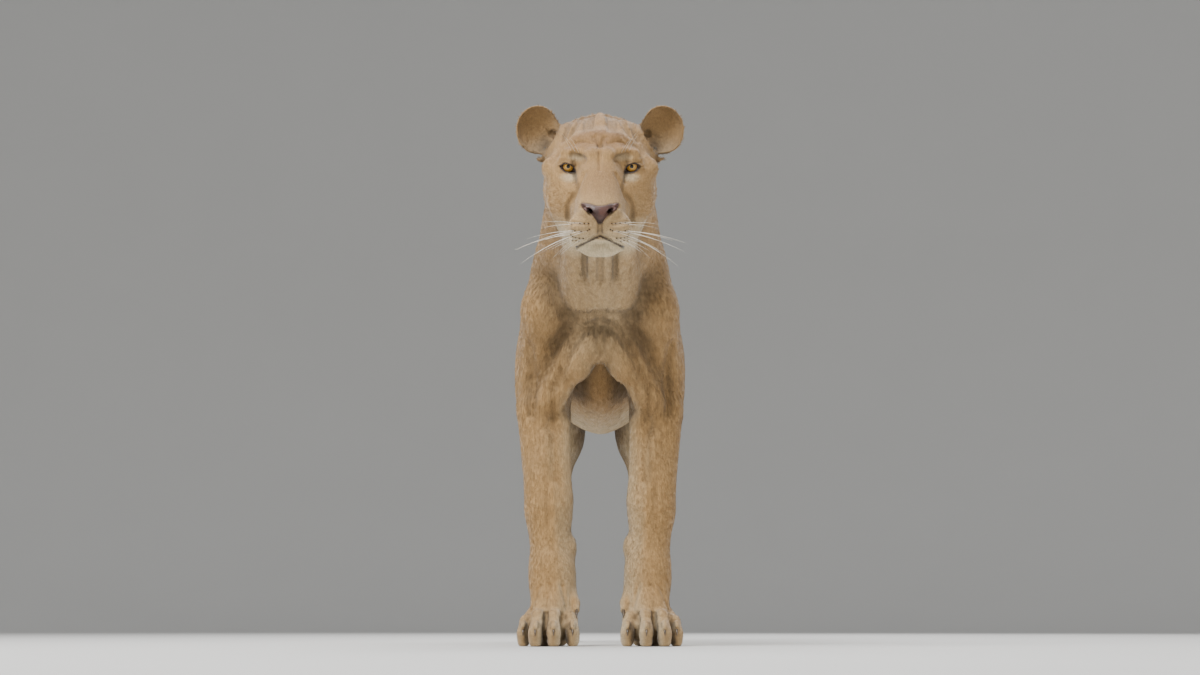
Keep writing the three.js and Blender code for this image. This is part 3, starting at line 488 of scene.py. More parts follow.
@dataclass(frozen=True)
class Anatomy:
    """The lioness's forms, and the field that they make together."""

    forms: tuple[Form, ...]

    @staticmethod
    def trunk() -> list[Form]:
        """Returns neck, chest, belly, loin and rump."""
        return [
            loft("trunk", TRUNK, top=1.85, bottom=1.65, cap=60, blend=1),
            blob("flank_fold", (92, 745, 580), (30, 62, 52), blend=50),
            blob("rib_barrel", (88, 260, 690), (80, 170, 150), blend=50),
            blob("chest_front", (0, -96, 700), (72, 66, 62), blend=50),
            blob("loin", (46, 620, 926), (46, 170, 30), blend=40),
            blob("rump", (66, 850, 860), (72, 140, 92), blend=60),
            blob("hip_point", (92, 760, 905), (26, 46, 30), blend=40),
            taper("throat_cord", (42, -345, 780), (40, -150, 700), 34, 34, blend=30),
            taper("windpipe", (0, -340, 752), (0, -160, 682), 28, 26, blend=26),
            taper("nape", (34, -330, 930), (34, -60, 955), 40, 44, blend=40),
            taper("neck_side", (66, -320, 850), (84, -130, 790), 36, 44, blend=40),
        ]

    @staticmethod
    def toes(leg: str, table: Sequence[Sequence[float]], middle: float) -> list[Form]:
        """Makes the four toes of a paw.

        Args:
            leg: Name of the leg.
            table: Knuckle, place of the tip, and radius of each toe.
            middle: Where the middle of the paw stands across the body.

        Returns:
            Toe, knuckle, claw hood and pad of each.
        """
        forms = []
        for i, (kx, ky, kz, tx, ty, r) in enumerate(table):
            root = (middle + (kx - middle) * 0.72, ky + 36, kz + 20)
            forms += [
                taper(f"{leg}_toe_root_{i}", root, (kx, ky, kz), r * 0.86, r * 0.9, blend=9),
                blob(f"{leg}_knuckle_{i}", (kx, ky - 2, kz), (r * 0.93, r * 1.12, r * 1.06), blend=3),
                taper(f"{leg}_toe_{i}", (kx, ky, kz), (tx, ty, TOE_TIP), r * 0.9, r * 0.86, blend=2.5),
                taper(f"{leg}_claw_hood_{i}", (tx, ty - 2, 46), (tx, ty - 13, 38), 7.5, 6, blend=5),
                blob(f"{leg}_toe_pad_{i}", (tx, ty + 10, PAD_HEIGHT),
                     (r * 0.84, r * 1.15, PAD_HEIGHT + 5), blend=9),
            ]
        return forms

    @classmethod
    def foreleg(cls) -> list[Form]:
        """Returns shoulder, breast muscles, forearm and forepaw."""
        return [
            taper("shoulder_blade", (66, 40, 930), (112, -66, 745), 36, 56, flat=0.62, blend=45),
            taper("blade_edge", (60, 110, 905), (122, 70, 690), 30, 58, flat=0.62, blend=45),
            blob("shoulder_point", (106, -92, 682), (40, 44, 54), blend=34),
            taper("upper_arm", (112, -62, 670), (118, 34, 540), 60, 58, flat=0.88, blend=40),
            blob("triceps", (138, 52, 592), (43, 66, 104), pitch=-10, blend=34),
            taper("breast_muscle", (27, -88, 636), (46, -70, 572), 33, 38, blend=24),
            blob("breast_middle", (0, -92, 606), (34, 36, 38), blend=26),
            taper("breast_strap", (50, -72, 590), (100, -30, 500), 32, 34, blend=30),
            taper("breast_inner", (46, -30, 600), (91, 6, 518), 34, 28, blend=24),
            blob("elbow", (128, 84, 530), (24, 26, 40), blend=28),
            taper("forearm", (116, 30, 500), (106, 4, 280), 58, 48, flat=0.9, blend=34),
            taper("forearm_lower", (106, 4, 280), (97, -2, 130), 47, 42, blend=30),
            taper("extensor", (136, 2, 476), (124, -8, 330), 36, 28, blend=28),
            taper("flexor", (100, 56, 470), (98, 40, 300), 36, 24, blend=30),
            taper("inner_tendon", (84, -12, 450), (78, -14, 300), 25, 20, blend=22),
            taper("front_cord", (108, -30, 420), (96, -32, 190), 19, 13, blend=12),
            blob("wrist", (97, -4, 160), (44, 43, 36), blend=24),
            blob("wrist_inner", (60, 4, 200), (14, 20, 22), blend=18),
            blob("wrist_pad", (100, 46, 122), (18, 16, 24), pitch=20, blend=18),
            taper("metacarpus", (97, -6, 124), (98, -30, 72), 42, 42, flat=1.06, blend=24),
            blob("fore_sole", (101, -44, 24), (42, 38, 20), blend=12),
            blob("fore_paw_body", (101, -44, 38), (50, 49, 31), blend=12),
            *cls.toes("fore", FORE_TOES, 100),
            blob("fore_pad", (100, -18, 20), (41, 33, 26), blend=18),
            taper("dewclaw_toe", (64, -6, 116), (52, -32, 86), 15, 13, blend=10),
            taper("dewclaw_tip", (52, -32, 86), (48, -46, 72), 12, 9, blend=6),
        ]

    @classmethod
    def hindleg(cls) -> list[Form]:
        """Returns thigh, shank, hock and hindpaw."""
        return [
            taper("thigh", (86, 872, 800), (108, 818, 580), 114, 76, flat=0.68, blend=60),
            taper("thigh_back", (80, 966, 800), (100, 950, 550), 78, 60, flat=0.68, blend=55),
            blob("buttock", (58, 990, 800), (46, 52, 74), blend=45),
            blob("inner_thigh", (72, 890, 560), (34, 70, 80), blend=45),
            taper("knee", (110, 776, 560), (112, 800, 500), 44, 40, flat=0.85, blend=40),
            taper("shank", (106, 832, 520), (118, 1010, 320), 66, 37, flat=0.72, blend=45),
            taper("calf", (100, 928, 520), (114, 1008, 386), 52, 30, flat=0.7, blend=40),
            taper("heel_cord", (112, 1020, 430), (120, 1062, 312), 18, 17, flat=0.7, blend=26),
            blob("hock", (120, 1030, 292), (30, 40, 42), blend=26),
            blob("heel", (121, 1062, 302), (17, 18, 22), blend=20),
            taper("hind_shaft", (120, 1030, 280), (121, 1002, 80), 35, 36, flat=0.84, blend=26),
            blob("hind_instep", (120, 985, 66), (36, 40, 28), blend=24),
            blob("hind_sole", (120, 944, 23), (36, 34, 19), blend=10),
            blob("hind_paw_body", (120, 944, 35), (41, 45, 28), blend=12),
            *cls.toes("hind", HIND_TOES, 120),
            blob("hind_pad", (120, 966, 19), (35, 32, 25), blend=18),
        ]

    @staticmethod
    def tail() -> list[Form]:
        """Returns the tail, which hangs to one side."""
        return [taper(f"tail_{i}", a[:3], b[:3], a[3], b[3], blend=(24, 12, 8)[i] if i < 3 else 5)
                .changed(sides=(1,)) for i, (a, b) in enumerate(zip(TAIL, TAIL[1:]))]

    @staticmethod
    def head() -> list[Form]:
        """Returns skull, muzzle and jaw, in the head's own frame."""
        x, y, z = EYE
        return [
            loft("skull", CRANIUM, top=2.0, bottom=2.1, cap=22, blend=46),
            loft("muzzle", MUZZLE, top=2.5, bottom=2.6, cap=16, blend=28),
            blob("forehead", (0, 42, 42), (60, 34, 24), blend=14),
            blob("crown", (36, 112, 46), (34, 46, 28), blend=30),
            blob("nape_crest", (0, 126, 62), (24, 54, 25), blend=22),
            taper("cheekbone", (50, -12, -38), (92, 34, -6), 24, 20, blend=26),
            taper("cheek", (47, -26, -66), (67, 10, -70), 20, 28, blend=30),
            blob("jaw_muscle", (68, 40, -58), (31, 48, 46), blend=34),
            blob("cheek_low", (50, 8, -104), (26, 46, 29), blend=30),
            blob("whisker_pad", (30, -98, -97), (28.5, 35, 30), yaw=14, blend=8),
            blob("upper_lip", (38, -80, -116), (17, 36, 21), yaw=18, blend=10),
            blob("nose_tip", (0, -112, -66), (34, 24, 17), pitch=24, blend=7),
            blob("nose_wing", (21, -111, -65), (15, 18, 12), yaw=18, blend=5),
            blob("chin", (0, -86, -136), (27, 22, 18.5), blend=9),
            taper("jaw", (22, -74, -132), (48, 30, -112), 19, 26, blend=22),
            taper("brow", (38, -3, 27), (66, 8, 25), 9, 9, blend=20),
            blob("brow_bump", (15, -22, 26), (9, 9, 9), blend=22),
            blob("lids", (x, y, z), (24, 24, 23), blend=8),
        ]

    @staticmethod
    def folds() -> list[Form]:
        """Returns lids, the eye opening and nostrils, in the head's own frame."""
        return [
            trail("upper_lid", [(46, -4, 4), (52, -11, 9), (61, -12, 10), (70, -7, 6.5), (79, 2, 2)],
                  3.6, 5, False),
            trail("lower_lid", [(47, -7, -10), (55, -10, -13), (64, -9, -10), (72, -4, -4)], 3.2, 5, False),
            almond("eye_opening", (-40, 8), 1.2),
            taper("nostril", (13, -132, -69), (20, -124, -62), 4.4, 4.6, blend=2, cut=True),
            taper("nostril_way", (17, -126, -64), (14, -102, -58), 4.4, 3.4, blend=2, cut=True),
            trail("nostril_slit", [(21, -124, -61), (29, -118, -57.5), (37, -108, -56)], 2.5, 2, True),
            trail("nostril_tail", [(13, -131, -70), (8, -131, -77), (4, -129, -85)], 2.2, 2, True),
        ]

    @staticmethod
    def ears() -> list[Form]:
        """Returns the ears' cups, in the head's own frame."""
        return [
            blob("ear_root", (92, 112, 36), (30, 32, 42), roll=24, pitch=-20, blend=26),
            blob("ear_outer", (121, 127, 56), (46, 34, 52), **EAR, blend=12),
            blob("ear_hollow", (122, 106, 61), (40.5, 38.5, 46), **EAR, blend=3, cut=True),
            taper("ear_lobe", (128, 102, 8), (112, 98, 2), 7, 9, blend=9),
            taper("ear_bar", (113, 128, 46), (104, 112, 14), 4, 6, blend=7),
        ]

    def laid(self, points: Array) -> Array:
        """Moves points onto the skin.

        Args:
            points: The points.

        Returns:
            The moved points.
        """
        shape = SkinShape(self)
        for _ in range(3):
            points = shape.settled(points, 8.0, 1)
        return points

    @classmethod
    def creased(cls, base: "Anatomy") -> "Anatomy":
        """Cuts the creases of the hide into a body, each laid on its surface.

        Args:
            base: The body without its creases.

        Returns:
            The body with them.
        """
        paths = []
        for head, step, table in ((True, 9, FACE_CREASES), (False, 26, BODY_CREASES)):
            for name, reach, blend, path in table:
                count = 1 + math.ceil(sum(math.dist(a, b) for a, b in zip(path, path[1:])) / step)
                line = smooth_path(path, max(count, 3))
                paths.append((name, reach, blend, from_head(line) if head else line))
        laid = base.laid(np.concatenate([p for *_, p in paths]))
        forms, start = list(base.forms), 0
        for name, reach, blend, path in paths:
            line = [tuple(map(float, p)) for p in laid[start:start + len(path)]]
            start += len(path)
            forms.append(trail(name, line, abs(reach), blend, reach > 0).sided())
        return cls(tuple(forms))

    @classmethod
    def whole(cls) -> "Anatomy":
        """Returns the whole animal."""
        body = [f.sided() for f in (*cls.trunk(), *cls.foreleg(), *cls.hindleg())]
        head = [framed(f.sided()) for f in (*cls.head(), *cls.ears(), *cls.folds())]
        return cls.creased(cls((*body, *cls.tail(), *head)))

    def sampled(self, x: Array, y: Array, z: Array) -> Array:
        """Field on an open grid.

        Args:
            x: Places along x.
            y: Places along y.
            z: Places along z.

        Returns:
            Distances, one per grid place.
        """
        f = np.full((len(x), len(y), len(z)), FAR, np.float32)
        for form in self.forms:
            m = form.blend + 14
            for side in form.sides:
                spans = []
                for axis, low, high in zip((side * x, y, z), form.low, form.high):
                    hit = np.nonzero((axis > low - m) & (axis < high + m))[0]
                    spans.append(slice(hit[0], hit[-1] + 1) if len(hit) else None)
                if None in spans:
                    continue
                part = np.ix_(*(np.arange(s.start, s.stop) for s in spans))
                d = form.distance(side * x[spans[0]][:, None, None], y[spans[1]][None, :, None],
                                  z[spans[2]][None, None, :]).astype(np.float32)
                was = f[part]
                f[part] = -joined(-was, d, form.blend) if form.cut else joined(was, d, form.blend)
        return f

    def at(self, p: Array) -> Array:
        """Field at single points.

        Args:
            p: Points, one per row; neighbours should stand near each other in the list.

        Returns:
            A distance for each.
        """
        low = np.array([f.low for f in self.forms]) - np.array([[f.blend + 14] for f in self.forms])
        high = np.array([f.high for f in self.forms]) + np.array([[f.blend + 14] for f in self.forms])

        def batch(q: Array) -> Array:
            """Field at a few points that stand close together."""
            f = np.full(len(q), FAR)
            near = []
            for side in (1, -1):
                mirrored = q * (side, 1, 1)
                near.append(((mirrored.max(0) >= low) & (mirrored.min(0) <= high)).all(1))
            for k, form in enumerate(self.forms):
                for side in form.sides:
                    if near[0 if side > 0 else 1][k]:
                        d = form.distance(side * q[:, 0], q[:, 1], q[:, 2])
                        f = -joined(-f, d, form.blend) if form.cut else joined(f, d, form.blend)
            return f

        parts = [p[i:i + BATCH] for i in range(0, len(p), BATCH)]
        with ThreadPoolExecutor(WORKERS) as pool:
            return np.concatenate(list(pool.map(batch, parts)))


def near_order(p: Array, cell: float = 60.0) -> Array:
    """Finds an order of points that keeps neighbours together.

    Args:
        p: The points.
        cell: Size of the boxes that they are sorted into.

    Returns:
        The order.
    """
    key = np.floor(p / cell).astype(int)
    return np.lexsort((p[:, 0], key[:, 0], key[:, 2], key[:, 1]))


def depth(x: Array, y: Array, z: Array) -> Array:
    """How far the skin lies under the coat's outer surface.

    Args:
        x: Places across the body.
        y: Places along the body.
        z: Heights.

    Returns:
        Depths in millimetres.
    """
    paw = 1 - ramp(z, 40, 190)
    leg = 1 - ramp(z, 300, 560)
    face = 1 - ramp(y, -470, -330)
    tail = ramp(y, 1090, 1130)
    trunk = 4.2 - 1.4 * leg - 1.2 * paw
    return np.maximum(1.2, trunk * (1 - face) + 1.3 * face) * (1 - tail) + 3.5 * tail


# How far the skin stays above the floor
FLOOR_GAP = 0.6


@dataclass(frozen=True)
class SkinShape:
    """The skin's surface: the anatomy, drawn in by the coat's depth."""

    anatomy: Anatomy

    def grid(self, low: Point, high: Point, cell: float) -> tuple[Array, list[Array]]:
        """Samples the skin's field in a box.

        Args:
            low: Lowest corner.
            high: Highest corner.
            cell: Spacing.

        Returns:
            Distances, and the places along each axis.
        """
        axes = [np.linspace(a, b, max(2, int(round((b - a) / cell)) + 1)) for a, b in zip(low, high)]
        x, y, z = axes
        f = self.anatomy.sampled(x, y, z)
        f += depth(x[:, None, None], y[None, :, None], z[None, None, :]).astype(np.float32)
        return np.maximum(f, FLOOR_GAP - z[None, None, :].astype(np.float32)), axes

    def at(self, p: Array) -> Array:
        """Field of the skin at single points."""
        return np.maximum(self.anatomy.at(p) + depth(*p.T), FLOOR_GAP - p[:, 2])

    def shade_of_hollows(self, p: Array, normal: Array) -> Array:
        """How deep points lie between other forms, from 0 in the open to 1; their colour darkens there as
        painted shade.

        Args:
            p: Points on the surface.
            normal: The surface's normals there.

        Returns:
            A value for each point.
        """
        value = sum(share * (1 - self.anatomy.at(p + normal * reach) / reach) for reach, share in SHADE_REACHES)
        return np.clip(value, 0, 1)

    def slope(self, p: Array, step: float = 0.4) -> tuple[Array, Array]:
        """Finds the field and its gradient.

        Args:
            p: The points.
            step: How far round each point the field is looked at.

        Returns:
            A value and a gradient for each point.
        """
        corners = np.array([(1, 1, 1), (1, -1, -1), (-1, 1, -1), (-1, -1, 1)], float)
        values = [self.at(p + k * step) for k in corners]
        gradient = sum(v[:, None] * k for v, k in zip(values, corners)) / (4 * step)
        return sum(values) / 4, gradient

    def settled(self, p: Array, reach: float, rounds: int = 2) -> Array:
        """Moves points onto the surface, by at most reach in each round.

        Args:
            p: The points.
            reach: Longest move.
            rounds: Moves along the slope found at the start.

        Returns:
            The moved points.
        """
        f, g = self.slope(p)
        g = g / np.maximum((g * g).sum(1), 0.09)[:, None]
        for i in range(rounds):
            f = self.at(p) if i else f
            move = -f[:, None] * g
            size = np.linalg.norm(move, axis=1, keepdims=True)
            p = p + move * np.minimum(1, reach / np.maximum(size, 1e-9))
        return p


# ---- Nets ---------------------------------------------------------------------------


BITS = [(i, j, k) for k in (0, 1) for j in (0, 1) for i in (0, 1)]
RODS = [(axis, c) for axis in range(3) for c in range(8) if not BITS[c][axis]]


def sheet_table() -> Array:
    """For each of the 256 ways a cell can be filled, which sheet each of its 12 edges crosses.

    Returns:
        Sheet numbers, and -1 where an edge isn't crossed.
    """
    rod = {frozenset((c, c | 1 << axis)): e for e, (axis, c) in enumerate(RODS)}
    sides = []
    for axis in range(3):
        u, v = 1 << (axis + 1) % 3, 1 << (axis + 2) % 3
        sides += [[w, w | u, w | u | v, w | v] for w in (0, 1 << axis)]
    table = np.full((256, 12), -1)
    for fill in range(256):
        sheet = {e: e for e, (axis, c) in enumerate(RODS)
                 if (fill >> c & 1) != (fill >> (c | 1 << axis) & 1)}
        for ring in sides:
            rods = [rod[frozenset((ring[i], ring[(i + 1) % 4]))] for i in range(4)]
            crossed = [e for e in rods if e in sheet]
            pairs = [crossed] if len(crossed) == 2 else []
            if len(crossed) == 4:
                pairs = [(rods[i - 1], rods[i]) for i in range(4) if fill >> ring[i] & 1]
            for a, b in pairs:
                old, new = sheet[a], sheet[b]
                sheet = {e: new if s == old else s for e, s in sheet.items()}
        names = sorted(set(sheet.values()))
        for e, s in sheet.items():
            table[fill, e] = names.index(s)
    return table


SHEETS = sheet_table()


def surface_net(values: Array, axes: Sequence[Array]) -> tuple[Array, Array]:
    """A net of quads over the zero level of a sampled field.

    Args:
        values: Distances on the grid.
        axes: Places along each axis.

    Returns:
        Points and quads; the net stays open where it meets the box.
    """
    inside = values < 0
    n = [s - 1 for s in values.shape]
    fill = sum(inside[i:i + n[0], j:j + n[1], k:k + n[2]].astype(np.uint8) << bit
               for bit, (i, j, k) in enumerate(BITS))
    active = (fill > 0) & (fill < 255)
    cells = np.argwhere(active)
    sheets = SHEETS[fill[active]]
    many = sheets.max(1) + 1
    first = np.concatenate([[0], np.cumsum(many)])
    index = np.full(active.shape, -1, np.int64)
    index[active] = np.arange(len(cells))
    total, hits = np.zeros((first[-1], 3)), np.zeros(first[-1])
    for e, (axis, c) in enumerate(RODS):
        cross = sheets[:, e] >= 0
        a = cells[cross] + np.array(BITS[c])
        b = a.copy()
        b[:, axis] += 1
        va, vb = values[tuple(a.T)], values[tuple(b.T)]
        spot = a.astype(float)
        spot[:, axis] += va / (va - vb)
        number = first[:-1][cross] + sheets[cross, e]
        np.add.at(total, number, spot)
        np.add.at(hits, number, 1)
    spots = total / hits[:, None]
    points = np.stack([np.interp(spots[:, i], np.arange(len(axes[i])), axes[i]) for i in range(3)], 1)
    quads = []
    for axis in range(3):
        u, v = (axis + 1) % 3, (axis + 2) % 3
        low, high = [slice(None)] * 3, [slice(None)] * 3
        low[axis], high[axis] = slice(0, -1), slice(1, None)
        for k in (u, v):
            low[k] = high[k] = slice(1, -1)
        lo, hi = inside[tuple(low)], inside[tuple(high)]
        base = np.argwhere(lo != hi)
        out = lo[tuple(base.T)]
        base[:, [u, v]] += 1
        ring = []
        for du, dv in ((-1, -1), (0, -1), (0, 0), (-1, 0)):
            cell = base.copy()
            cell[:, u] += du
            cell[:, v] += dv
            number = index[tuple(cell.T)]
            e = RODS.index((axis, (1 << u if du else 0) | (1 << v if dv else 0)))
            ring.append(first[number] + sheets[number, e])
        quad = np.stack(ring, 1)
        quad[~out] = quad[~out][:, ::-1]
        quads.append(quad)
    return points, np.concatenate(quads)


def open_loops(points: Array, quads: Array, axis: int, place: float, reach: float) -> list[list[int]]:
    """The open borders of a net near a plane.

    Args:
        points: Points of the net.
        quads: Faces of the net.
        axis: The axis that the plane stands across.
        place: Where the plane stands.
        reach: How near to it a border has to be.

    Returns:
        Each border as a ring of point numbers.
    """
    edges = np.concatenate([quads[:, [i, (i + 1) % 4]] for i in range(4)])
    edges.sort(1)
    unique, counts = np.unique(edges, axis=0, return_counts=True)
    border = unique[counts == 1]
    border = border[(np.abs(points[border][:, :, axis] - place) < reach).all(1)]
    nearby: dict[int, list[int]] = {}
    for a, b in border.tolist():
        nearby.setdefault(a, []).append(b)
        nearby.setdefault(b, []).append(a)
    loops, seen = [], set()
    for start in nearby:
        if start in seen:
            continue
        loop, here = [start], start
        seen.add(start)
        while True:
            onward = [v for v in nearby[here] if v not in seen]
            if not onward:
                break
            here = onward[0]
            seen.add(here)
            loop.append(here)
        if len(loop) > 8:
            loops.append(loop)
    return loops


def zipped(points: Array, a: list[int], b: list[int], axis: int) -> list[tuple[int, int, int]]:
    """Triangles that close the gap between two facing rings.

    Args:
        points: All points.
        a: One ring.
        b: The other ring.
        axis: The axis that the rings stand across.

    Returns:
        The triangles.
    """
    u, v = (axis + 1) % 3, (axis + 2) % 3

    def turn(ring: list[int]) -> float:
        """Signed area of a ring."""
        p = points[ring]
        return float(np.sum(p[:, u] * np.roll(p[:, v], -1) - np.roll(p[:, u], -1) * p[:, v]))

    if turn(a) * turn(b) < 0:
        b = b[::-1]
    start = int(np.argmin(np.linalg.norm(points[b] - points[a[0]], axis=1)))
    b = b[start:] + b[:start]
    i = j = 0
    faces = []
    while i < len(a) or j < len(b):
        a0, a1 = a[i % len(a)], a[(i + 1) % len(a)]
        b0, b1 = b[j % len(b)], b[(j + 1) % len(b)]
        take_a = j >= len(b) or (i < len(a) and np.linalg.norm(points[a1] - points[b0])
                                 <= np.linalg.norm(points[b1] - points[a0]))
        if take_a:
            faces.append((a0, a1, b0))
            i += 1
        else:
            faces.append((a0, b1, b0))
            j += 1
    return faces


# ---- Helpers ------------------------------------------------------------------------


def row_shift() -> Array:
    """Reads the move from the body's frame to the row frame off the left eye.

    Returns:
        The move, in millimetres.
    """
    low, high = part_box("eye_left")
    eye = from_head(np.array(EYE))
    middle = [(a + b) / 2 / MM for a, b in zip(low, high)]
    return np.array([0.0, middle[1] - eye[1], 0.0])


SHIFT = row_shift()


def placed(points: Array) -> Array:
    """Points of the body's frame, in the row frame, in metres."""
    return (np.asarray(points, float) + SHIFT) * MM


def linked(mesh: bpy.types.Mesh, name: str) -> bpy.types.Object:
    """Puts a mesh at the origin as a smooth piece.

    Args:
        mesh: The mesh.
        name: Name of the piece.

    Returns:
        The object, linked to the scene.
    """
    mesh.polygons.foreach_set("use_smooth", [True] * len(mesh.polygons))
    mesh.update()
    obj = bpy.data.objects.new(name, mesh)
    bpy.context.scene.collection.objects.link(obj)
    return obj


def mesh_object(name: str, points: Array, faces: Iterable[Sequence[int]]) -> bpy.types.Object:
    """Makes a mesh object at the origin.

    Args:
        name: Name of the piece.
        points: Its points, in metres.
        faces: Its faces.

    Returns:
        The object, linked to the scene.
    """
    mesh = bpy.data.meshes.new(name)
    mesh.from_pydata(np.asarray(points, float).tolist(), [], [list(map(int, f)) for f in faces])
    mesh.validate()
    return linked(mesh, name)


def outward(obj: bpy.types.Object) -> None:
    """Turns the faces of a closed mesh outwards.

    Args:
        obj: The piece.
    """
    net = bmesh.new()
    net.from_mesh(obj.data)
    bmesh.ops.recalc_face_normals(net, faces=net.faces)
    net.to_mesh(obj.data)
    net.free()


def set_value(mesh: bpy.types.Mesh, name: str, values: Array) -> None:
    """Stores a number or a vector on each point of a mesh.

    Args:
        mesh: The mesh.
        name: What the value is called.
        values: One number or one vector for each point.
    """
    vector = values.ndim == 2
    layer = mesh.attributes.new(name, "FLOAT_VECTOR" if vector else "FLOAT", "POINT")
    layer.data.foreach_set("vector" if vector else "value", values.astype(np.float32).ravel())


def ball_mask(p: Array, c: Point, r: Point, soft: float = 0.35) -> Array:
    """Marks what lies inside an ellipsoid and its mirror image.

    Args:
        p: The points.
        c: Centre.
        r: Radii.
        soft: Softness of the border, as a share of the radii.

    Returns:
        1 inside and 0 outside.
    """
    q = np.stack([np.abs(p[:, 0]), p[:, 1], p[:, 2]], 1)
    reach = np.sqrt((((q - np.array(c)) / np.array(r)) ** 2).sum(1))
    return 1 - ramp(reach, 1 - soft, 1 + soft)


def dress(obj: bpy.types.Object, material: bpy.types.Material, slot: str, *nodes: str) -> None:
    """Gives a piece its finish and its body, and logs its slot.

    Args:
        obj: The piece.
        material: Its finish.
        slot: Its material slot.
        nodes: CAD nodes that it stands for.
    """
    if not obj.data.materials:
        obj.data.materials.append(material)
    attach(obj, "root")
    if nodes:
        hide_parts(*nodes)
    faces = len(obj.data.polygons)
    LOG.info("%s: %d faces, slot %s, stands for %s", obj.name, faces, slot, ", ".join(nodes) or "-")


# ---- Skin ---------------------------------------------------------------------------


@dataclass(frozen=True)
class Region:
    """A box of the body that is netted at its own spacing."""

    low: Point
    high: Point
    cell: float


@dataclass
class Skin:
    """One closed skin from nose to tail, finest on the head and the paws."""

    shape: SkinShape
    head: Region = Region((-180, -604, 690), (180, -262, 1062), 2.95)
    body: Region = Region((-232, -262, 140), (232, 1320, 1060), 9.8)
    forepaws: Region = Region((-184, -140, -6), (184, 96, 140), 4.2)
    hindpaws: Region = Region((-192, 860, -6), (192, 1064, 140), 4.2)
    points: Array = field(default_factory=lambda: np.zeros((0, 3)))

    def netted(self) -> tuple[Array, list[Sequence[int]]]:
        """Nets each region and closes the gaps between them.

        Returns:
            The points and the faces of the closed skin.
        """
        parts, offset, points, faces = [], 0, [], []
        for region in (self.body, self.head, self.forepaws, self.hindpaws):
            p, q = surface_net(*self.shape.grid(region.low, region.high, region.cell))
            parts.append((p, q, offset, region))
            points.append(p)
            faces += (q + offset).tolist()
            offset += len(p)
        everything = np.concatenate(points)
        body_points, body_quads, _, body = parts[0]
        for p, q, start, region in parts[1:]:
            axis, place = (1, body.low[1]) if region is self.head else (2, body.low[2])
            reach = body.cell * 1.2
            theirs = open_loops(p, q, axis, place, reach)
            ours = open_loops(body_points, body_quads, axis, place, reach)
            for ring in theirs:
                middle = p[ring].mean(0)
                mate = min(ours, key=lambda r: np.linalg.norm(body_points[r].mean(0) - middle))
                faces += zipped(everything, mate, [v + start for v in ring], axis)
        return everything, faces

    @staticmethod
    def relaxed(points: Array, faces: list[Sequence[int]], rounds: int = 2) -> Array:
        """Evens the net out along its own surface.

        Args:
            points: Points of the net.
            faces: Faces of the net.
            rounds: How often each point moves towards the middle of its neighbours.

        Returns:
            The moved points.
        """
        corners = np.array([tuple(f) + tuple(f[-1:]) * (4 - len(f)) for f in faces])
        pairs = np.concatenate([corners[:, [i, (i + 1) % 4]] for i in range(4)])
        pairs = pairs[pairs[:, 0] != pairs[:, 1]]
        pairs = np.concatenate([pairs, pairs[:, ::-1]])
        count = np.maximum(np.bincount(pairs[:, 0], minlength=len(points)), 1)[:, None]
        for _ in range(rounds):
            cross = np.cross(points[corners[:, 2]] - points[corners[:, 0]],
                             points[corners[:, 3]] - points[corners[:, 1]])
            normal, total = np.zeros_like(points), np.zeros_like(points)
            for axis in range(3):
                for i in range(4):
                    normal[:, axis] += np.bincount(corners[:, i], cross[:, axis], len(points))
                total[:, axis] = np.bincount(pairs[:, 0], points[pairs[:, 1], axis], len(points))
            normal /= np.maximum(np.linalg.norm(normal, axis=1, keepdims=True), 1e-9)
            move = total / count - points
            move -= (move * normal).sum(1, keepdims=True) * normal
            points = points + 0.6 * move
        return points

    def build(self) -> bpy.types.Object:
        """Builds the skin and stores what the coat needs to know on its points.

        Returns:
            The skin.
        """
        points, faces = self.netted()
        order = near_order(points)
        place = np.empty(len(order), int)
        place[order] = np.arange(len(order))
        points, faces = points[order], [tuple(place[list(f)]) for f in faces]
        points = self.relaxed(self.shape.settled(points, 3.0, 1), faces)
        self.points = self.shape.settled(points, 2.0, 2)
        obj = mesh_object("skin", placed(self.points), faces)
        outward(obj)
        self.unwrap(obj)
        self.mark(obj)
        return obj

    @staticmethod
    def unwrap(obj: bpy.types.Object) -> None:
        """Lays the skin out flat in a map named OFBake.

        Args:
            obj: The skin.
        """
        obj.data.uv_layers.new(name="OFBake")
        bpy.context.view_layer.objects.active = obj
        obj.select_set(True)
        bpy.ops.object.mode_set(mode="EDIT")
        bpy.ops.mesh.select_all(action="SELECT")
        bpy.ops.uv.smart_project(angle_limit=math.radians(72), island_margin=0.0015)
        bpy.ops.object.mode_set(mode="OBJECT")

    def mark(self, obj: bpy.types.Object) -> None:
        """Stores the lie, length and density of the coat, its markings, and how deep each point lies between
        other forms, for painted shade.

        Args:
            obj: The skin.
        """
        p = self.points
        normal = np.zeros((len(p), 3), np.float32)
        obj.data.vertex_normals.foreach_get("vector", normal.ravel())
        marks = Markings(p, normal)
        lie = marks.lie()
        lie -= (lie * normal).sum(1, keepdims=True) * normal
        lie /= np.maximum(np.linalg.norm(lie, axis=1, keepdims=True), 1e-6)
        set_value(obj.data, "lie", lie)
        set_value(obj.data, "hang", np.clip(np.abs(lie[:, 2]) * 1.3 - 0.25, 0, 1))
        for name, values in marks.values().items():
            set_value(obj.data, name, values)
        # How deep each point lies between other forms; the colour darkens there as painted shade
        set_value(obj.data, "hollow", self.shape.shade_of_hollows(p, normal))


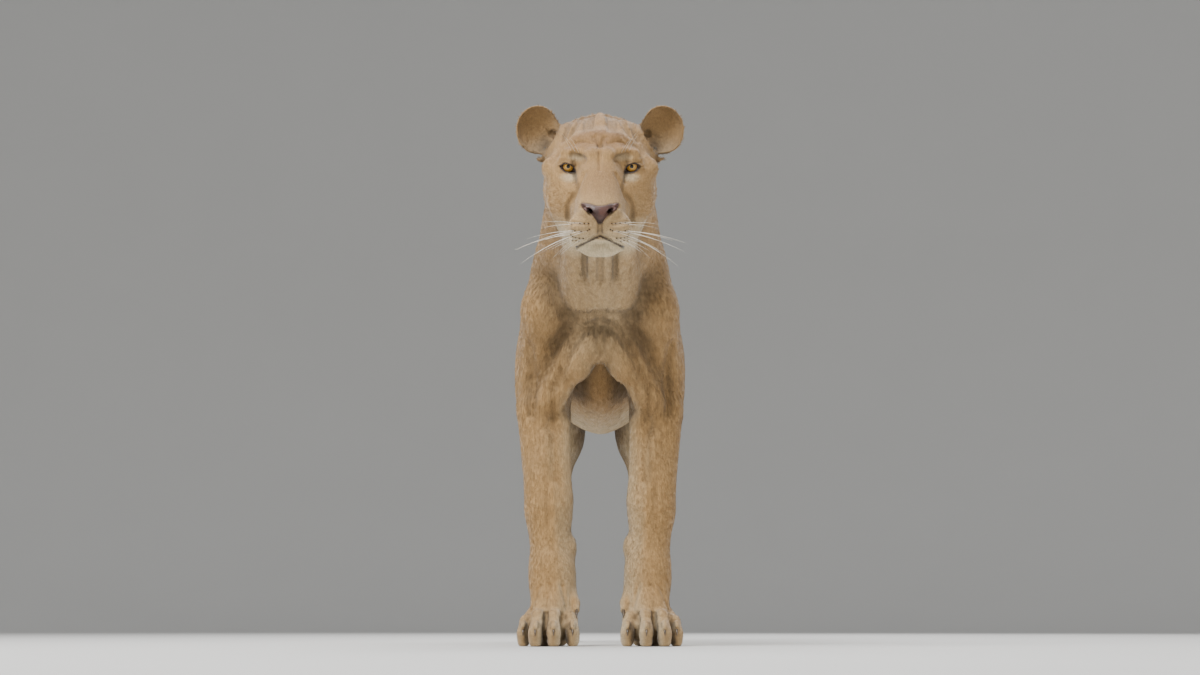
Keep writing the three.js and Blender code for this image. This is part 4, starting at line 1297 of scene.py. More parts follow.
class Markings:
    """Where the coat is pale, dark or rich, and how it grows, at a set of points."""

    def __init__(self, p: Array, normal: Array) -> None:
        """Finds what the markings share: places in the head's frame, ears, lids, nose and lips.

        Args:
            p: Points in the body's frame.
            normal: The skin's normals there.
        """
        self.p, self.normal, self.q = p, normal, to_head(p)
        self.hx, self.hy, self.hz = np.abs(self.q[:, 0]), self.q[:, 1], self.q[:, 2]
        self.in_head = 1 - ramp(p[:, 1], *HEAD_END)
        self.front = self.in_head * (self.hy < 30)
        self.ear = ball_mask(self.q, (121, 122, 58), (58, 44, 62), 0.08) * self.in_head
        cup = self.ear * ball_mask(self.q, (122, 104, 61), (42, 42, 48), 0.08)
        self.cup = cup * ramp(-normal[:, 1], -0.5, 0.1) * ramp(self.hy, 96, 106)
        self.lid = np.where(self.hy < 14, lid_gap(self.hx, self.hz), 50.0)
        self.nose = self.leather() * self.in_head
        line = np.interp(self.hx, [0, 15, 30, 44, 53, 58, 64], [-110, -118, -127, -136, -141, -138, -126])
        self.lips = self.front * (self.hy < -55) * (1 - ramp(np.abs(self.hz - line), 0.8, 2.6))
        self.lips = self.lips * (1 - ramp(self.hx, 54, 60))

    def lie(self) -> Array:
        """Finds the direction in which the hair lies.

        Returns:
            A vector for each point, not yet flat on the skin.
        """
        x, y, z = self.p.T
        none, one = np.zeros_like(x), np.ones_like(x)
        away = self.q - np.array([0.0, -132.0, -58.0])
        away /= np.maximum(np.linalg.norm(away, axis=1, keepdims=True), 1)
        away = from_head(away) - from_head(np.zeros(3))
        outward_x = 0.10 * np.sign(x) * np.abs(x) / 180
        trunk = np.stack([outward_x, one, -0.38 - 0.3 * ramp(-z, -760, -560)], 1)
        limb = np.stack([none, 0.35 * one, -one], 1)
        paw = np.stack([none, -one, -0.5 * one], 1)
        breast = np.stack([0.2 * np.sign(x), 0.5 * one, -one], 1)
        tail = np.stack([0.2 * one, 0.15 * one, -one], 1)
        tip = np.stack([-0.1 * one, one, -0.4 * one], 1)
        steps = ((limb, 1 - ramp(z, 470, 640)), (paw, 1 - ramp(z, 60, 130)),
                 (breast, ramp(-y, 60, 130) * (1 - ramp(z, 660, 800)) * ramp(z, 440, 560)))
        v = trunk
        for other, share in steps:
            v = v + (other - v) * share[:, None]
        v = away + (v - away) * ramp(y, -360, -270)[:, None]
        v = v + (tail - v) * ramp(y, *TAIL_START)[:, None]
        return v + (tip - v) * (ramp(y, 1180, 1240) * (1 - ramp(z, 230, 290)))[:, None]

    def values(self) -> dict[str, Array]:
        """Collects growth and markings.

        Returns:
            Values from 0 to 1 by name, and the hair's length in metres.
        """
        area = {f"area_{area.value}": share for area, share in self.areas().items()}
        leather = self.nose + self.lips * 0.8 + (1 - ramp(self.lid, 0.3, 1.6))
        return {"length": self.length() * MM, "density": self.density(), "pale": self.pale(),
                "dark": self.dark(), "rich": self.rich(), "leather": np.clip(leather, 0, 1), **area}

    def density(self) -> Array:
        """Finds how densely the hair grows: not on nose, lips, lid rims or soles.

        Returns:
            A share for each point.
        """
        z, down = self.p[:, 2], -self.normal[:, 2]
        bare = np.clip(self.nose + (1 - ramp(self.lid, 0.6, 2.2)) + self.lips + 0.4 * self.cup, 0, 1)
        return (1 - bare) * ramp(z, 8, 15) * (1 - ramp(down, 0.3, 0.7) * (1 - ramp(z, 40, 60)))

    def pale(self) -> Array:
        """Marks chin, pads, round the eyes, throat, chest, belly and inner legs as pale.

        Returns:
            A share for each point.
        """
        (x, y, z), q = self.p.T, self.q
        chin = ball_mask(q, (0, -84, -142), (44, 50, 24), 0.5)
        pad = ball_mask(q, (38, -92, -114), (34, 42, 22), 0.5)
        under_eye = ball_mask(q, (54, -14, -17), (18, 22, 8), 0.55)
        over_eye = ball_mask(q, (44, -14, 20), (15, 20, 7), 0.6)
        pale = self.front * (0.85 * chin + 0.5 * pad + 0.6 * under_eye + 0.5 * over_eye)
        pale = pale + self.in_head * 0.6 * ball_mask(q, (50, 10, -134), (66, 100, 40), 0.5)
        chest = (1 - ramp(z, 700, 860)) * (1 - ramp(y, -150, 0)) * ramp(z, 470, 640)
        pale = pale + 0.34 * chest * (1 - ramp(np.abs(x), 0, 150))
        pale = pale + 0.75 * ramp(-self.normal[:, 2], 0.1, 0.9) * ramp(z, 430, 500) * ramp(y, 60, 380)
        inner = ramp(-self.normal[:, 0] * np.sign(x), 0.0, 1.0) * (1 - ramp(z, 400, 640))
        pale = pale + 0.5 * inner + 0.25 * (1 - ramp(z, 30, 110))
        return np.clip(np.maximum(pale, 0.6 * self.cup), 0, 1)

    def dark(self) -> Array:
        """Marks lid rims, lips, backs of the ears, tear lines and tail tuft as dark, and paints shade into
        the insides of the ears.

        Returns:
            A share for each point.
        """
        (_, y, z), q, hx, hz = self.p.T, self.q, self.hx, self.hz
        back = self.ear * ramp(self.normal[:, 1], -0.1, 0.35) * ramp(hz, 22, 50) * (1 - ramp(hz, 84, 104))
        # Painted shade in the ear cups: low at their inner side, and deep at the back of the cup
        inner_cup_shade = ball_mask(q, (100, 120, 42), (30, 50, 36), 0.65) * self.cup
        bottom = ball_mask(q, (116, 128, 84), (36, 34, 18), 0.8) * self.cup
        tear_x = np.interp(hz, [-46, -26, -9], [39, 41, 46.6])
        tear = self.front * (1 - ramp(np.abs(hx - tear_x), 2, 5)) * (1 - ramp(hz, -10, -5))
        tear = tear * ramp(hz, -46, -26)
        rim = self.front * (1 - ramp(self.lid, 1.0, 3.4))
        dark = 0.9 * rim + 0.9 * self.lips + 0.8 * back + 0.4 * tear + 0.85 * inner_cup_shade + 0.3 * bottom
        return np.clip(np.maximum(dark, 0.92 * ramp(y, *TUFT_START) * (1 - ramp(z, 262, 340))), 0, 1)

    def rich(self) -> Array:
        """Marks back, bridge of the nose and forehead as richer in colour.

        Returns:
            A share for each point.
        """
        q, z = self.q, self.p[:, 2]
        rich = 0.8 * ramp(self.normal[:, 2], -0.1, 1.0) * ramp(z, 760, 960) * (1 - 0.3 * self.in_head)
        rich = rich + 0.5 * self.in_head * ball_mask(q, (0, -70, -24), (34, 60, 34), 0.6)
        rich = rich + 0.5 * self.front * ball_mask(q, (0, 20, 50), (70, 44, 26), 0.6)
        return np.clip(rich, 0, 1)

    def length(self) -> Array:
        """Finds the length of the hair.

        Returns:
            One length for each point, in millimetres.
        """
        (_, y, z), q, hy = self.p.T, self.q, self.hy
        length = 13 + 5 * ramp(-z, -620, -500) * ramp(z, 420, 480)
        length = length + (10 - length) * (1 - ramp(z, 380, 560))
        length = length + (5.5 - length) * (1 - ramp(z, 60, 170))
        face = 3.4 + 4.5 * ramp(hy, -110, 60) + 2 * ramp(hy, 60, 120)
        face = face + 5 * ball_mask(q, (84, 30, -80), (34, 60, 44), 0.5)
        face = face + 3 * ball_mask(q, (0, -86, -150), (34, 28, 14), 0.5)
        length = length + (face - length) * self.in_head
        length = length + (6 - length) * self.ear
        inner = ball_mask(q, (90, 112, 44), (16, 22, 34), 0.4) * self.in_head
        length = length + (18 - length) * inner * np.maximum(self.cup, ramp(hy, 96, 106) * 0.8)
        seat = ramp(y, 940, 1000) * ramp(z, 560, 640) * (1 - ramp(z, 760, 860))
        length = length + 7 * (seat * ramp(self.normal[:, 1], 0.2, 0.8))
        length = length + (15 - length) * ramp(y, *TAIL_START)
        return length + (42 - length) * ramp(y, *TUFT_START) * (1 - ramp(z, 262, 330))

    def leather(self) -> Array:
        """Marks the bare leather of the nose.

        Returns:
            1 on the leather and 0 off it.
        """
        wide, top = leather_edges(self.hx, self.hz)
        sides = (1 - ramp(self.hx, wide - 1.5, wide + 1.5)) * ramp(-self.hy, 102, 108)
        return sides * (1 - ramp(self.hz - top, -1, 3)) * ramp(self.hz, -90, -86)

    def areas(self) -> dict["CoatArea", Array]:
        """Shares the skin out among the pieces of the coat.

        Returns:
            How much of each point's coat belongs to each piece.
        """
        x, y, z = self.p.T
        left = ramp(x, -2, 2)
        head = 1 - ramp(y, -300, -280)
        crown = head * ramp(y, -410, -400)
        tuft = ramp(y, 1178, 1200) * (1 - ramp(z, 300, 325))
        tail = ramp(y, 1050, 1060) - tuft
        low = (1 - ramp(z, 470, 480)) * (1 - head) * (1 - tail - tuft)
        fore, hind = low * (1 - ramp(y, 300, 310)), low * ramp(y, 300, 310)
        upper = 1 - head - tail - tuft - low
        under = ramp(-self.normal[:, 2], 0.25, 0.45) * upper * (1 - ramp(z, 660, 700)) * ramp(y, 60, 90)
        cuts = [-40, 190, 440, 680]
        bands = [1 - ramp(y, cuts[0], cuts[0] + 10)]
        bands += [ramp(y, a, a + 10) * (1 - ramp(y, b, b + 10)) for a, b in zip(cuts, cuts[1:])]
        bands.append(ramp(y, cuts[-1], cuts[-1] + 10))
        names = (CoatArea.NECK, CoatArea.SHOULDER, CoatArea.RIBS, CoatArea.LOIN, CoatArea.RUMP)
        return {CoatArea.FACE: head - crown, CoatArea.CROWN: crown, CoatArea.BELLY: under,
                CoatArea.FORELEG_LEFT: fore * left, CoatArea.FORELEG_RIGHT: fore * (1 - left),
                CoatArea.HINDLEG_LEFT: hind * left, CoatArea.HINDLEG_RIGHT: hind * (1 - left),
                CoatArea.TAIL: tail, CoatArea.TAIL_TUFT: tuft,
                **{name: (upper - under) * band for name, band in zip(names, bands)}}


class CoatArea(Enum):
    """The pieces that the coat is made in."""

    FACE = "face"
    CROWN = "crown"
    NECK = "neck"
    SHOULDER = "shoulder"
    RIBS = "ribs"
    BELLY = "belly"
    LOIN = "loin"
    RUMP = "rump"
    FORELEG_LEFT = "foreleg_left"
    FORELEG_RIGHT = "foreleg_right"
    HINDLEG_LEFT = "hindleg_left"
    HINDLEG_RIGHT = "hindleg_right"
    TAIL = "tail"
    TAIL_TUFT = "tail_tuft"

    @property
    def slot(self) -> str:
        """Returns the slot name that is logged for the piece."""
        return {CoatArea.BELLY: "coat_pale", CoatArea.TAIL_TUFT: "tuft"}.get(self, "coat")

    @property
    def crowding(self) -> float:
        """Returns how crowded the tufts stand, against the rest of the coat."""
        return {CoatArea.TAIL_TUFT: 7.0, CoatArea.TAIL: 1.3}.get(self, 1.0)

    @property
    def lift(self) -> float:
        """Returns how far the tufts stand off the skin, in radians."""
        return {CoatArea.TAIL_TUFT: 0.10}.get(self, 0.0)


# ---- Node trees ---------------------------------------------------------------------


@dataclass
class Tree:
    """A node tree under construction, with short ways to add and join nodes."""

    tree: bpy.types.NodeTree

    def add(self, kind: str, inputs: dict[str | int, object] | None = None,
            **settings: object) -> bpy.types.Node:
        """Adds a node.

        Args:
            kind: Its type.
            inputs: Values or sockets for its inputs.
            settings: Its properties.

        Returns:
            The node.
        """
        node = self.tree.nodes.new(kind)
        for name, value in settings.items():
            setattr(node, name, value)
        for name, value in (inputs or {}).items():
            self.feed(node.inputs[name], value)
        return node

    def feed(self, socket: bpy.types.NodeSocket, value: object) -> None:
        """Joins a socket to an input, or sets the input's own value.

        Args:
            socket: The input.
            value: A socket or a plain value.
        """
        if isinstance(value, bpy.types.NodeSocket):
            self.tree.links.new(value, socket)
        else:
            socket.default_value = value

    def math(self, operation: str, a: object, b: object = 0.0, clamp: bool = False) -> bpy.types.NodeSocket:
        """Adds a sum of two numbers and returns its socket."""
        return self.add("ShaderNodeMath", {0: a, 1: b}, operation=operation, use_clamp=clamp).outputs[0]

    def vector(self, operation: str, a: object, b: object) -> bpy.types.NodeSocket:
        """Adds a sum of two vectors and returns its socket."""
        return self.add("ShaderNodeVectorMath", {0: a, 1: b}, operation=operation).outputs[0]

    def place(self) -> bpy.types.NodeSocket:
        """Reads the place on the object, in a material."""
        return self.add("ShaderNodeTexCoord").outputs["Object"]

    def noise(self, place: object, scale: object, **inputs: float) -> bpy.types.NodeSocket:
        """Adds a cloudy pattern and returns its value."""
        values = {"Vector": place, "Scale": scale, **inputs}
        return self.add("ShaderNodeTexNoise", values).outputs["Fac"]

    def bump(self, shader: bpy.types.Node, height: object, strength: float, distance: float) -> None:
        """Makes a shader's surface rise and fall with a height."""
        values = {"Height": height, "Strength": strength, "Distance": distance}
        self.feed(shader.inputs["Normal"], self.add("ShaderNodeBump", values).outputs[0])

    def stored(self, name: object, kind: str = "FLOAT") -> bpy.types.NodeSocket:
        """Reads a value stored on the mesh, in Geometry Nodes."""
        node = self.add("GeometryNodeInputNamedAttribute", {"Name": name}, data_type=kind)
        return node.outputs["Attribute"]

    def posed(self, axes: str, primary: object, secondary: object, angles: object) -> bpy.types.NodeSocket:
        """Turns two axes onto two directions, and then a little further.

        Args:
            axes: The first and the second axis, such as ZY.
            primary: Direction of the first.
            secondary: Direction that the second leans to.
            angles: The further turn, in the shape's own axes.

        Returns:
            The rotation's socket.
        """
        turn = self.add("FunctionNodeAxesToRotation", primary_axis=axes[0], secondary_axis=axes[1])
        self.feed(turn.inputs["Primary Axis"], primary)
        self.feed(turn.inputs["Secondary Axis"], secondary)
        small = self.add("FunctionNodeEulerToRotation", {0: angles}).outputs[0]
        return self.add("FunctionNodeRotateRotation", {"Rotation": turn.outputs[0], "Rotate By": small},
                        rotation_space="LOCAL").outputs[0]

    def number(self, name: str) -> bpy.types.NodeSocket:
        """Reads a number stored on the mesh, in a material."""
        return self.add("ShaderNodeAttribute", attribute_name=name).outputs["Fac"]

    def mix(self, share: object, a: object, b: object, blend: str = "MIX") -> bpy.types.NodeSocket:
        """Mixes two colours.

        Args:
            share: How much of the second.
            a: The first.
            b: The second.
            blend: The way of mixing.

        Returns:
            The colour's socket.
        """
        node = self.add("ShaderNodeMix", data_type="RGBA", blend_type=blend)
        self.feed(node.inputs[0], share)
        self.feed(node.inputs[6], a)
        self.feed(node.inputs[7], b)
        return node.outputs[2]

    def span(self, value: object, low: float, high: float, to_low: float = 0.0, to_high: float = 1.0,
             ) -> bpy.types.NodeSocket:
        """Maps a number from one span to another, smoothly.

        Args:
            value: The number.
            low: Start of its span.
            high: End of its span.
            to_low: Start of the new span.
            to_high: End of the new span.

        Returns:
            The new number's socket.
        """
        node = self.add("ShaderNodeMapRange", {"From Min": low, "From Max": high, "To Min": to_low,
                                               "To Max": to_high}, interpolation_type="SMOOTHSTEP")
        self.feed(node.inputs["Value"], value)
        return node.outputs["Result"]

    def socket(self, name: str, kind: str, way: str = "INPUT", value: object = None) -> None:
        """Adds a named input or output to the tree.

        Args:
            name: Its name.
            kind: Its type, without the usual first word.
            way: INPUT or OUTPUT.
            value: Its value where nothing is joined to it.
        """
        made = self.tree.interface.new_socket(name=name, in_out=way, socket_type=f"NodeSocket{kind}")
        if value is not None:
            made.default_value = value


Colour = tuple[float, float, float, float]


def rgb(code: str) -> Colour:
    """Reads a colour.

    Args:
        code: Its usual six figures.

    Returns:
        The colour, linear and opaque.
    """
    parts = [int(code[i:i + 2], 16) / 255 for i in (0, 2, 4)]
    linear = [v / 12.92 if v < 0.04045 else ((v + 0.055) / 1.055) ** 2.4 for v in parts]
    return (*linear, 1.0)


def hide_colour_group() -> bpy.types.NodeTree:
    """Builds the group that colours skin and coat alike from the marks on the mesh, and paints shade into the
    hollows between forms.

    Returns:
        The group; its inputs are the coat's colours, its output is the colour.
    """
    group = bpy.data.node_groups.new("coat_colour", "ShaderNodeTree")
    t = Tree(group)
    for name, code in (("Tawny", "AB8757"), ("Rich", "87633B"), ("Pale", "CFBD9A"), ("Dark", "2A2019")):
        t.socket(name, "Color", value=rgb(code))
    t.socket("Patchiness", "Float", value=0.5)
    t.socket("Colour", "Color", "OUTPUT")
    given, out = group.nodes.new("NodeGroupInput").outputs, group.nodes.new("NodeGroupOutput")
    cloud = t.noise(t.place(), 9.0, Detail=4.0, Roughness=0.6)
    drift = t.math("MULTIPLY", t.span(cloud, 0.3, 0.7, -0.16, 0.16), given["Patchiness"])
    rich = t.math("ADD", t.number("rich"), drift, clamp=True)
    colour = t.mix(rich, given["Tawny"], given["Rich"])
    pale = t.math("ADD", t.number("pale"), t.math("MULTIPLY", drift, 0.6), clamp=True)
    colour = t.mix(pale, colour, given["Pale"])
    colour = t.mix(t.number("dark"), colour, given["Dark"])
    # Painted shade: the colour darkens where the mesh lies deep between other forms
    painted_shade = t.span(t.number("hollow"), 0.33, 0.9, 1.0, 0.4)
    t.feed(out.inputs["Colour"], t.mix(1.0, colour, painted_shade, "MULTIPLY"))
    return group


def hair_grain_group() -> bpy.types.NodeTree:
    """Builds the group that draws short flat hair, running back on the trunk and down on the legs.

    Returns:
        The group; its outputs are a height and a shade.
    """
    group = bpy.data.node_groups.new("hair_grain", "ShaderNodeTree")
    t = Tree(group)
    t.socket("Fineness", "Float", value=420.0)
    t.socket("Height", "Float", "OUTPUT")
    t.socket("Shade", "Float", "OUTPUT")
    given, out = group.nodes.new("NodeGroupInput"), group.nodes.new("NodeGroupOutput")
    place = t.place()
    bend = t.add("ShaderNodeTexNoise", {"Vector": place, "Scale": 7.0, "Detail": 2.0})
    swayed = t.vector("ADD", place, t.vector("MULTIPLY", bend.outputs["Color"], (0.02, 0.02, 0.02)))
    grains = []
    for stretch in ((1.0, 0.12, 1.0), (1.0, 1.0, 0.12)):
        drawn = t.add("ShaderNodeMapping", {"Vector": swayed, "Scale": stretch}).outputs[0]
        grains.append(t.noise(drawn, given.outputs["Fineness"], Detail=3.0, Roughness=0.65))
    hang = t.number("hang")
    height = t.math("ADD", t.math("MULTIPLY", grains[1], hang),
                    t.math("MULTIPLY", grains[0], t.math("SUBTRACT", 1.0, hang)))
    t.feed(out.inputs["Height"], height)
    t.feed(out.inputs["Shade"], t.span(height, 0.3, 0.7))
    return group


@dataclass(frozen=True)
class Finish:
    """A shader's plain values, on its own sockets."""

    name: str
    roughness: float = 0.6
    specular: float = 0.4
    sheen: float = 0.0
    coat: float = 0.0
    coat_roughness: float = 0.05

    def start(self) -> tuple[bpy.types.Material, Tree, bpy.types.Node]:
        """Makes the material.

        Returns:
            The material, its tree and its shader.
        """
        material = bpy.data.materials.new(self.name)
        material.use_nodes = True
        shader = material.node_tree.nodes["Principled BSDF"]
        for name, value in (("Roughness", self.roughness), ("Specular IOR Level", self.specular),
                            ("Sheen Weight", self.sheen), ("Coat Weight", self.coat),
                            ("Coat Roughness", self.coat_roughness)):
            shader.inputs[name].default_value = value
        return material, Tree(material.node_tree), shader


@dataclass
class Finishes:
    """All finishes of the lioness, made once."""

    colour: bpy.types.NodeTree = field(default_factory=hide_colour_group)
    grain: bpy.types.NodeTree = field(default_factory=hair_grain_group)

    def skin(self) -> bpy.types.Material:
        """Returns the skin with its flat hair drawn on it."""
        material, t, shader = Finish("skin", roughness=0.72, specular=0.25, sheen=0.25).start()
        colour = t.add("ShaderNodeGroup", node_tree=self.colour)
        grain = t.add("ShaderNodeGroup", node_tree=self.grain)
        shade = t.span(grain.outputs["Shade"], 0, 1, 0.8, 1.08)
        toned = t.mix(1.0, colour.outputs["Colour"], shade, "MULTIPLY")
        bare = t.number("leather")
        pores = t.add("ShaderNodeTexVoronoi", {"Scale": 700.0}).outputs["Distance"]
        toned = t.mix(bare, toned, rgb("3A2A26"))
        t.feed(shader.inputs["Base Color"], toned)
        t.feed(shader.inputs["Roughness"], t.span(bare, 0, 1, 0.72, 0.42))
        height = t.mix(bare, grain.outputs["Height"], pores)
        t.bump(shader, height, 0.5, 1.6 * MM)
        return material

    def coat(self, name: str) -> bpy.types.Material:
        """Returns the hair of the coat; every tuft has its own tone."""
        material, t, shader = Finish(name, roughness=0.62, specular=0.3, sheen=0.15).start()
        colour = t.add("ShaderNodeGroup", node_tree=self.colour)
        tone = t.span(t.number("tone"), 0, 1, 0.86, 1.12)
        tip = t.span(t.number("along"), 0, 1, 0.84, 1.1)
        toned = t.mix(1.0, colour.outputs["Colour"], t.math("MULTIPLY", tone, tip), "MULTIPLY")
        t.feed(shader.inputs["Base Color"], toned)
        return material

    def leather(self) -> bpy.types.Material:
        """Returns the nose leather: pebbled and slightly damp."""
        material, t, shader = Finish("nose_leather", roughness=0.5, specular=0.35, coat=0.06).start()
        place = t.place()
        cells = t.add("ShaderNodeTexVoronoi", {"Vector": place, "Scale": 520.0}, feature="SMOOTH_F1")
        cloud = t.noise(place, 60.0, Detail=4.0)
        t.feed(shader.inputs["Base Color"], t.mix(t.span(cloud, 0.35, 0.65), rgb("5C4038"), rgb("3A2925")))
        t.feed(shader.inputs["Roughness"], t.span(cloud, 0.3, 0.7, 0.34, 0.5))
        t.bump(shader, cells.outputs["Distance"], 0.5, 0.8 * MM)
        return material

    def eye(self) -> bpy.types.Material:
        """Returns the eyeball: amber iris with fibres, round pupil, dark rim, wet coat."""
        finish = Finish("eyeball", roughness=0.25, specular=0.3, coat=0.45, coat_roughness=0.03)
        material, t, shader = finish.start()
        r = t.number("ring")
        spoke = t.add("ShaderNodeAttribute", attribute_name="spoke").outputs["Vector"]
        fibre = t.noise(spoke, 9.0, Detail=5.0, Roughness=0.7)
        iris = t.mix(t.span(fibre, 0.3, 0.7), rgb("7A4A12"), rgb("D9A23C"))
        iris = t.mix(t.span(r, 0.30, 0.62), t.mix(0.5, iris, rgb("E0B860")), iris)
        iris = t.mix(t.span(r, 0.80, 1.0), iris, rgb("3A2410"))
        white = t.mix(t.span(r, 1.05, 1.5), rgb("3B2A20"), rgb("8A7464"))
        colour = t.mix(t.span(r, 0.98, 1.06), iris, white)
        colour = t.mix(t.span(r, 0.34, 0.30), colour, rgb("050404"))
        t.feed(shader.inputs["Base Color"], colour)
        return material

    def horn(self) -> bpy.types.Material:
        """Returns the claws: grey-brown horn, darker and streaked lengthwise."""
        material, t, shader = Finish("claw_horn", roughness=0.35, specular=0.5, coat=0.2).start()
        drawn = t.add("ShaderNodeMapping", {"Vector": t.place(), "Scale": (1.0, 0.25, 0.25)}).outputs[0]
        streak = t.noise(drawn, 900.0, Detail=3.0)
        t.feed(shader.inputs["Base Color"], t.mix(t.span(streak, 0.3, 0.7), rgb("75644F"), rgb("3A3028")))
        t.bump(shader, streak, 0.3, 0.5 * MM)
        return material

    def whisker(self) -> bpy.types.Material:
        """Returns the whiskers: pale, stiff and a little shiny."""
        material, t, shader = Finish("whisker", roughness=0.35, specular=0.5).start()
        cloud = t.span(t.noise(t.place(), 40.0), 0.3, 0.7)
        t.feed(shader.inputs["Base Color"], t.mix(cloud, rgb("E9E2D4"), rgb("CFC4B0")))
        return material

    def rim(self) -> bpy.types.Material:
        """Returns the dark wet margin of the lids."""
        material, t, shader = Finish("lid_rim", roughness=0.3, specular=0.4).start()
        t.feed(shader.inputs["Base Color"], rgb("271B17"))
        return material

    def spot(self) -> bpy.types.Material:
        """Returns the dark spots that the whiskers grow from."""
        material, t, shader = Finish("whisker_spot", roughness=0.7, specular=0.2).start()
        t.feed(shader.inputs["Base Color"], rgb("47352A"))
        return material

    def floor(self) -> bpy.types.Material:
        """Returns the plain pale floor."""
        material, t, shader = Finish("floor", roughness=0.9, specular=0.1).start()
        cloud = t.noise(t.place(), 1.3)
        t.feed(shader.inputs["Base Color"], t.mix(cloud, rgb("D3D2CF"), rgb("D6D5D2")))
        return material


# ---- Coat ---------------------------------------------------------------------------


# How much of the map a tuft takes
MAP_PATCH = 0.003
# A tuft one unit long: how far its roots stand apart, and half the width of a hair
TUFT_SPREAD, HAIR_WIDE = 0.3, 0.03


def tuft_shape(name: str, hairs: int, seed: int) -> bpy.types.Object:
    """Makes one small tuft of flat tapering hairs, one unit long, lying along +y.

    Args:
        name: Name of the shape.
        hairs: How many hairs it has.
        seed: Seed of their scatter.

    Returns:
        The shape; the number along runs from root to tip, patch is its place in the map.
    """
    rng = np.random.default_rng(seed)
    points, faces, run = [], [], []
    for i in range(hairs):
        root = rng.uniform(-1, 1, 2) * TUFT_SPREAD
        turn, reach, roll = rng.uniform(-0.2, 0.2), rng.uniform(0.72, 1.0), rng.uniform(-0.5, 0.5)
        rise = rng.uniform(0.025, 0.075)
        base = len(points)
        for t, height, w in ((0.0, -0.03, HAIR_WIDE), (0.5, rise, HAIR_WIDE * 0.8), (1.0, rise * 0.55, 0.0)):
            x, y = root[0] + math.sin(turn) * reach * t, root[1] + reach * t
            ends = (-1, 1) if w else (0,)
            points += [(x + k * w, y, height + k * w * roll) for k in ends]
            run += [t] * len(ends)
        faces += [(base, base + 1, base + 3), (base, base + 3, base + 2), (base + 2, base + 3, base + 4)]
    obj = mesh_object(name, np.array(points), faces)
    place = np.array(points)
    set_value(obj.data, "along", np.array(run))
    patch = np.stack([place[:, 0] * 0.6, place[:, 1] - 0.5, np.zeros(len(place))], 1)
    set_value(obj.data, "patch", patch)
    return obj


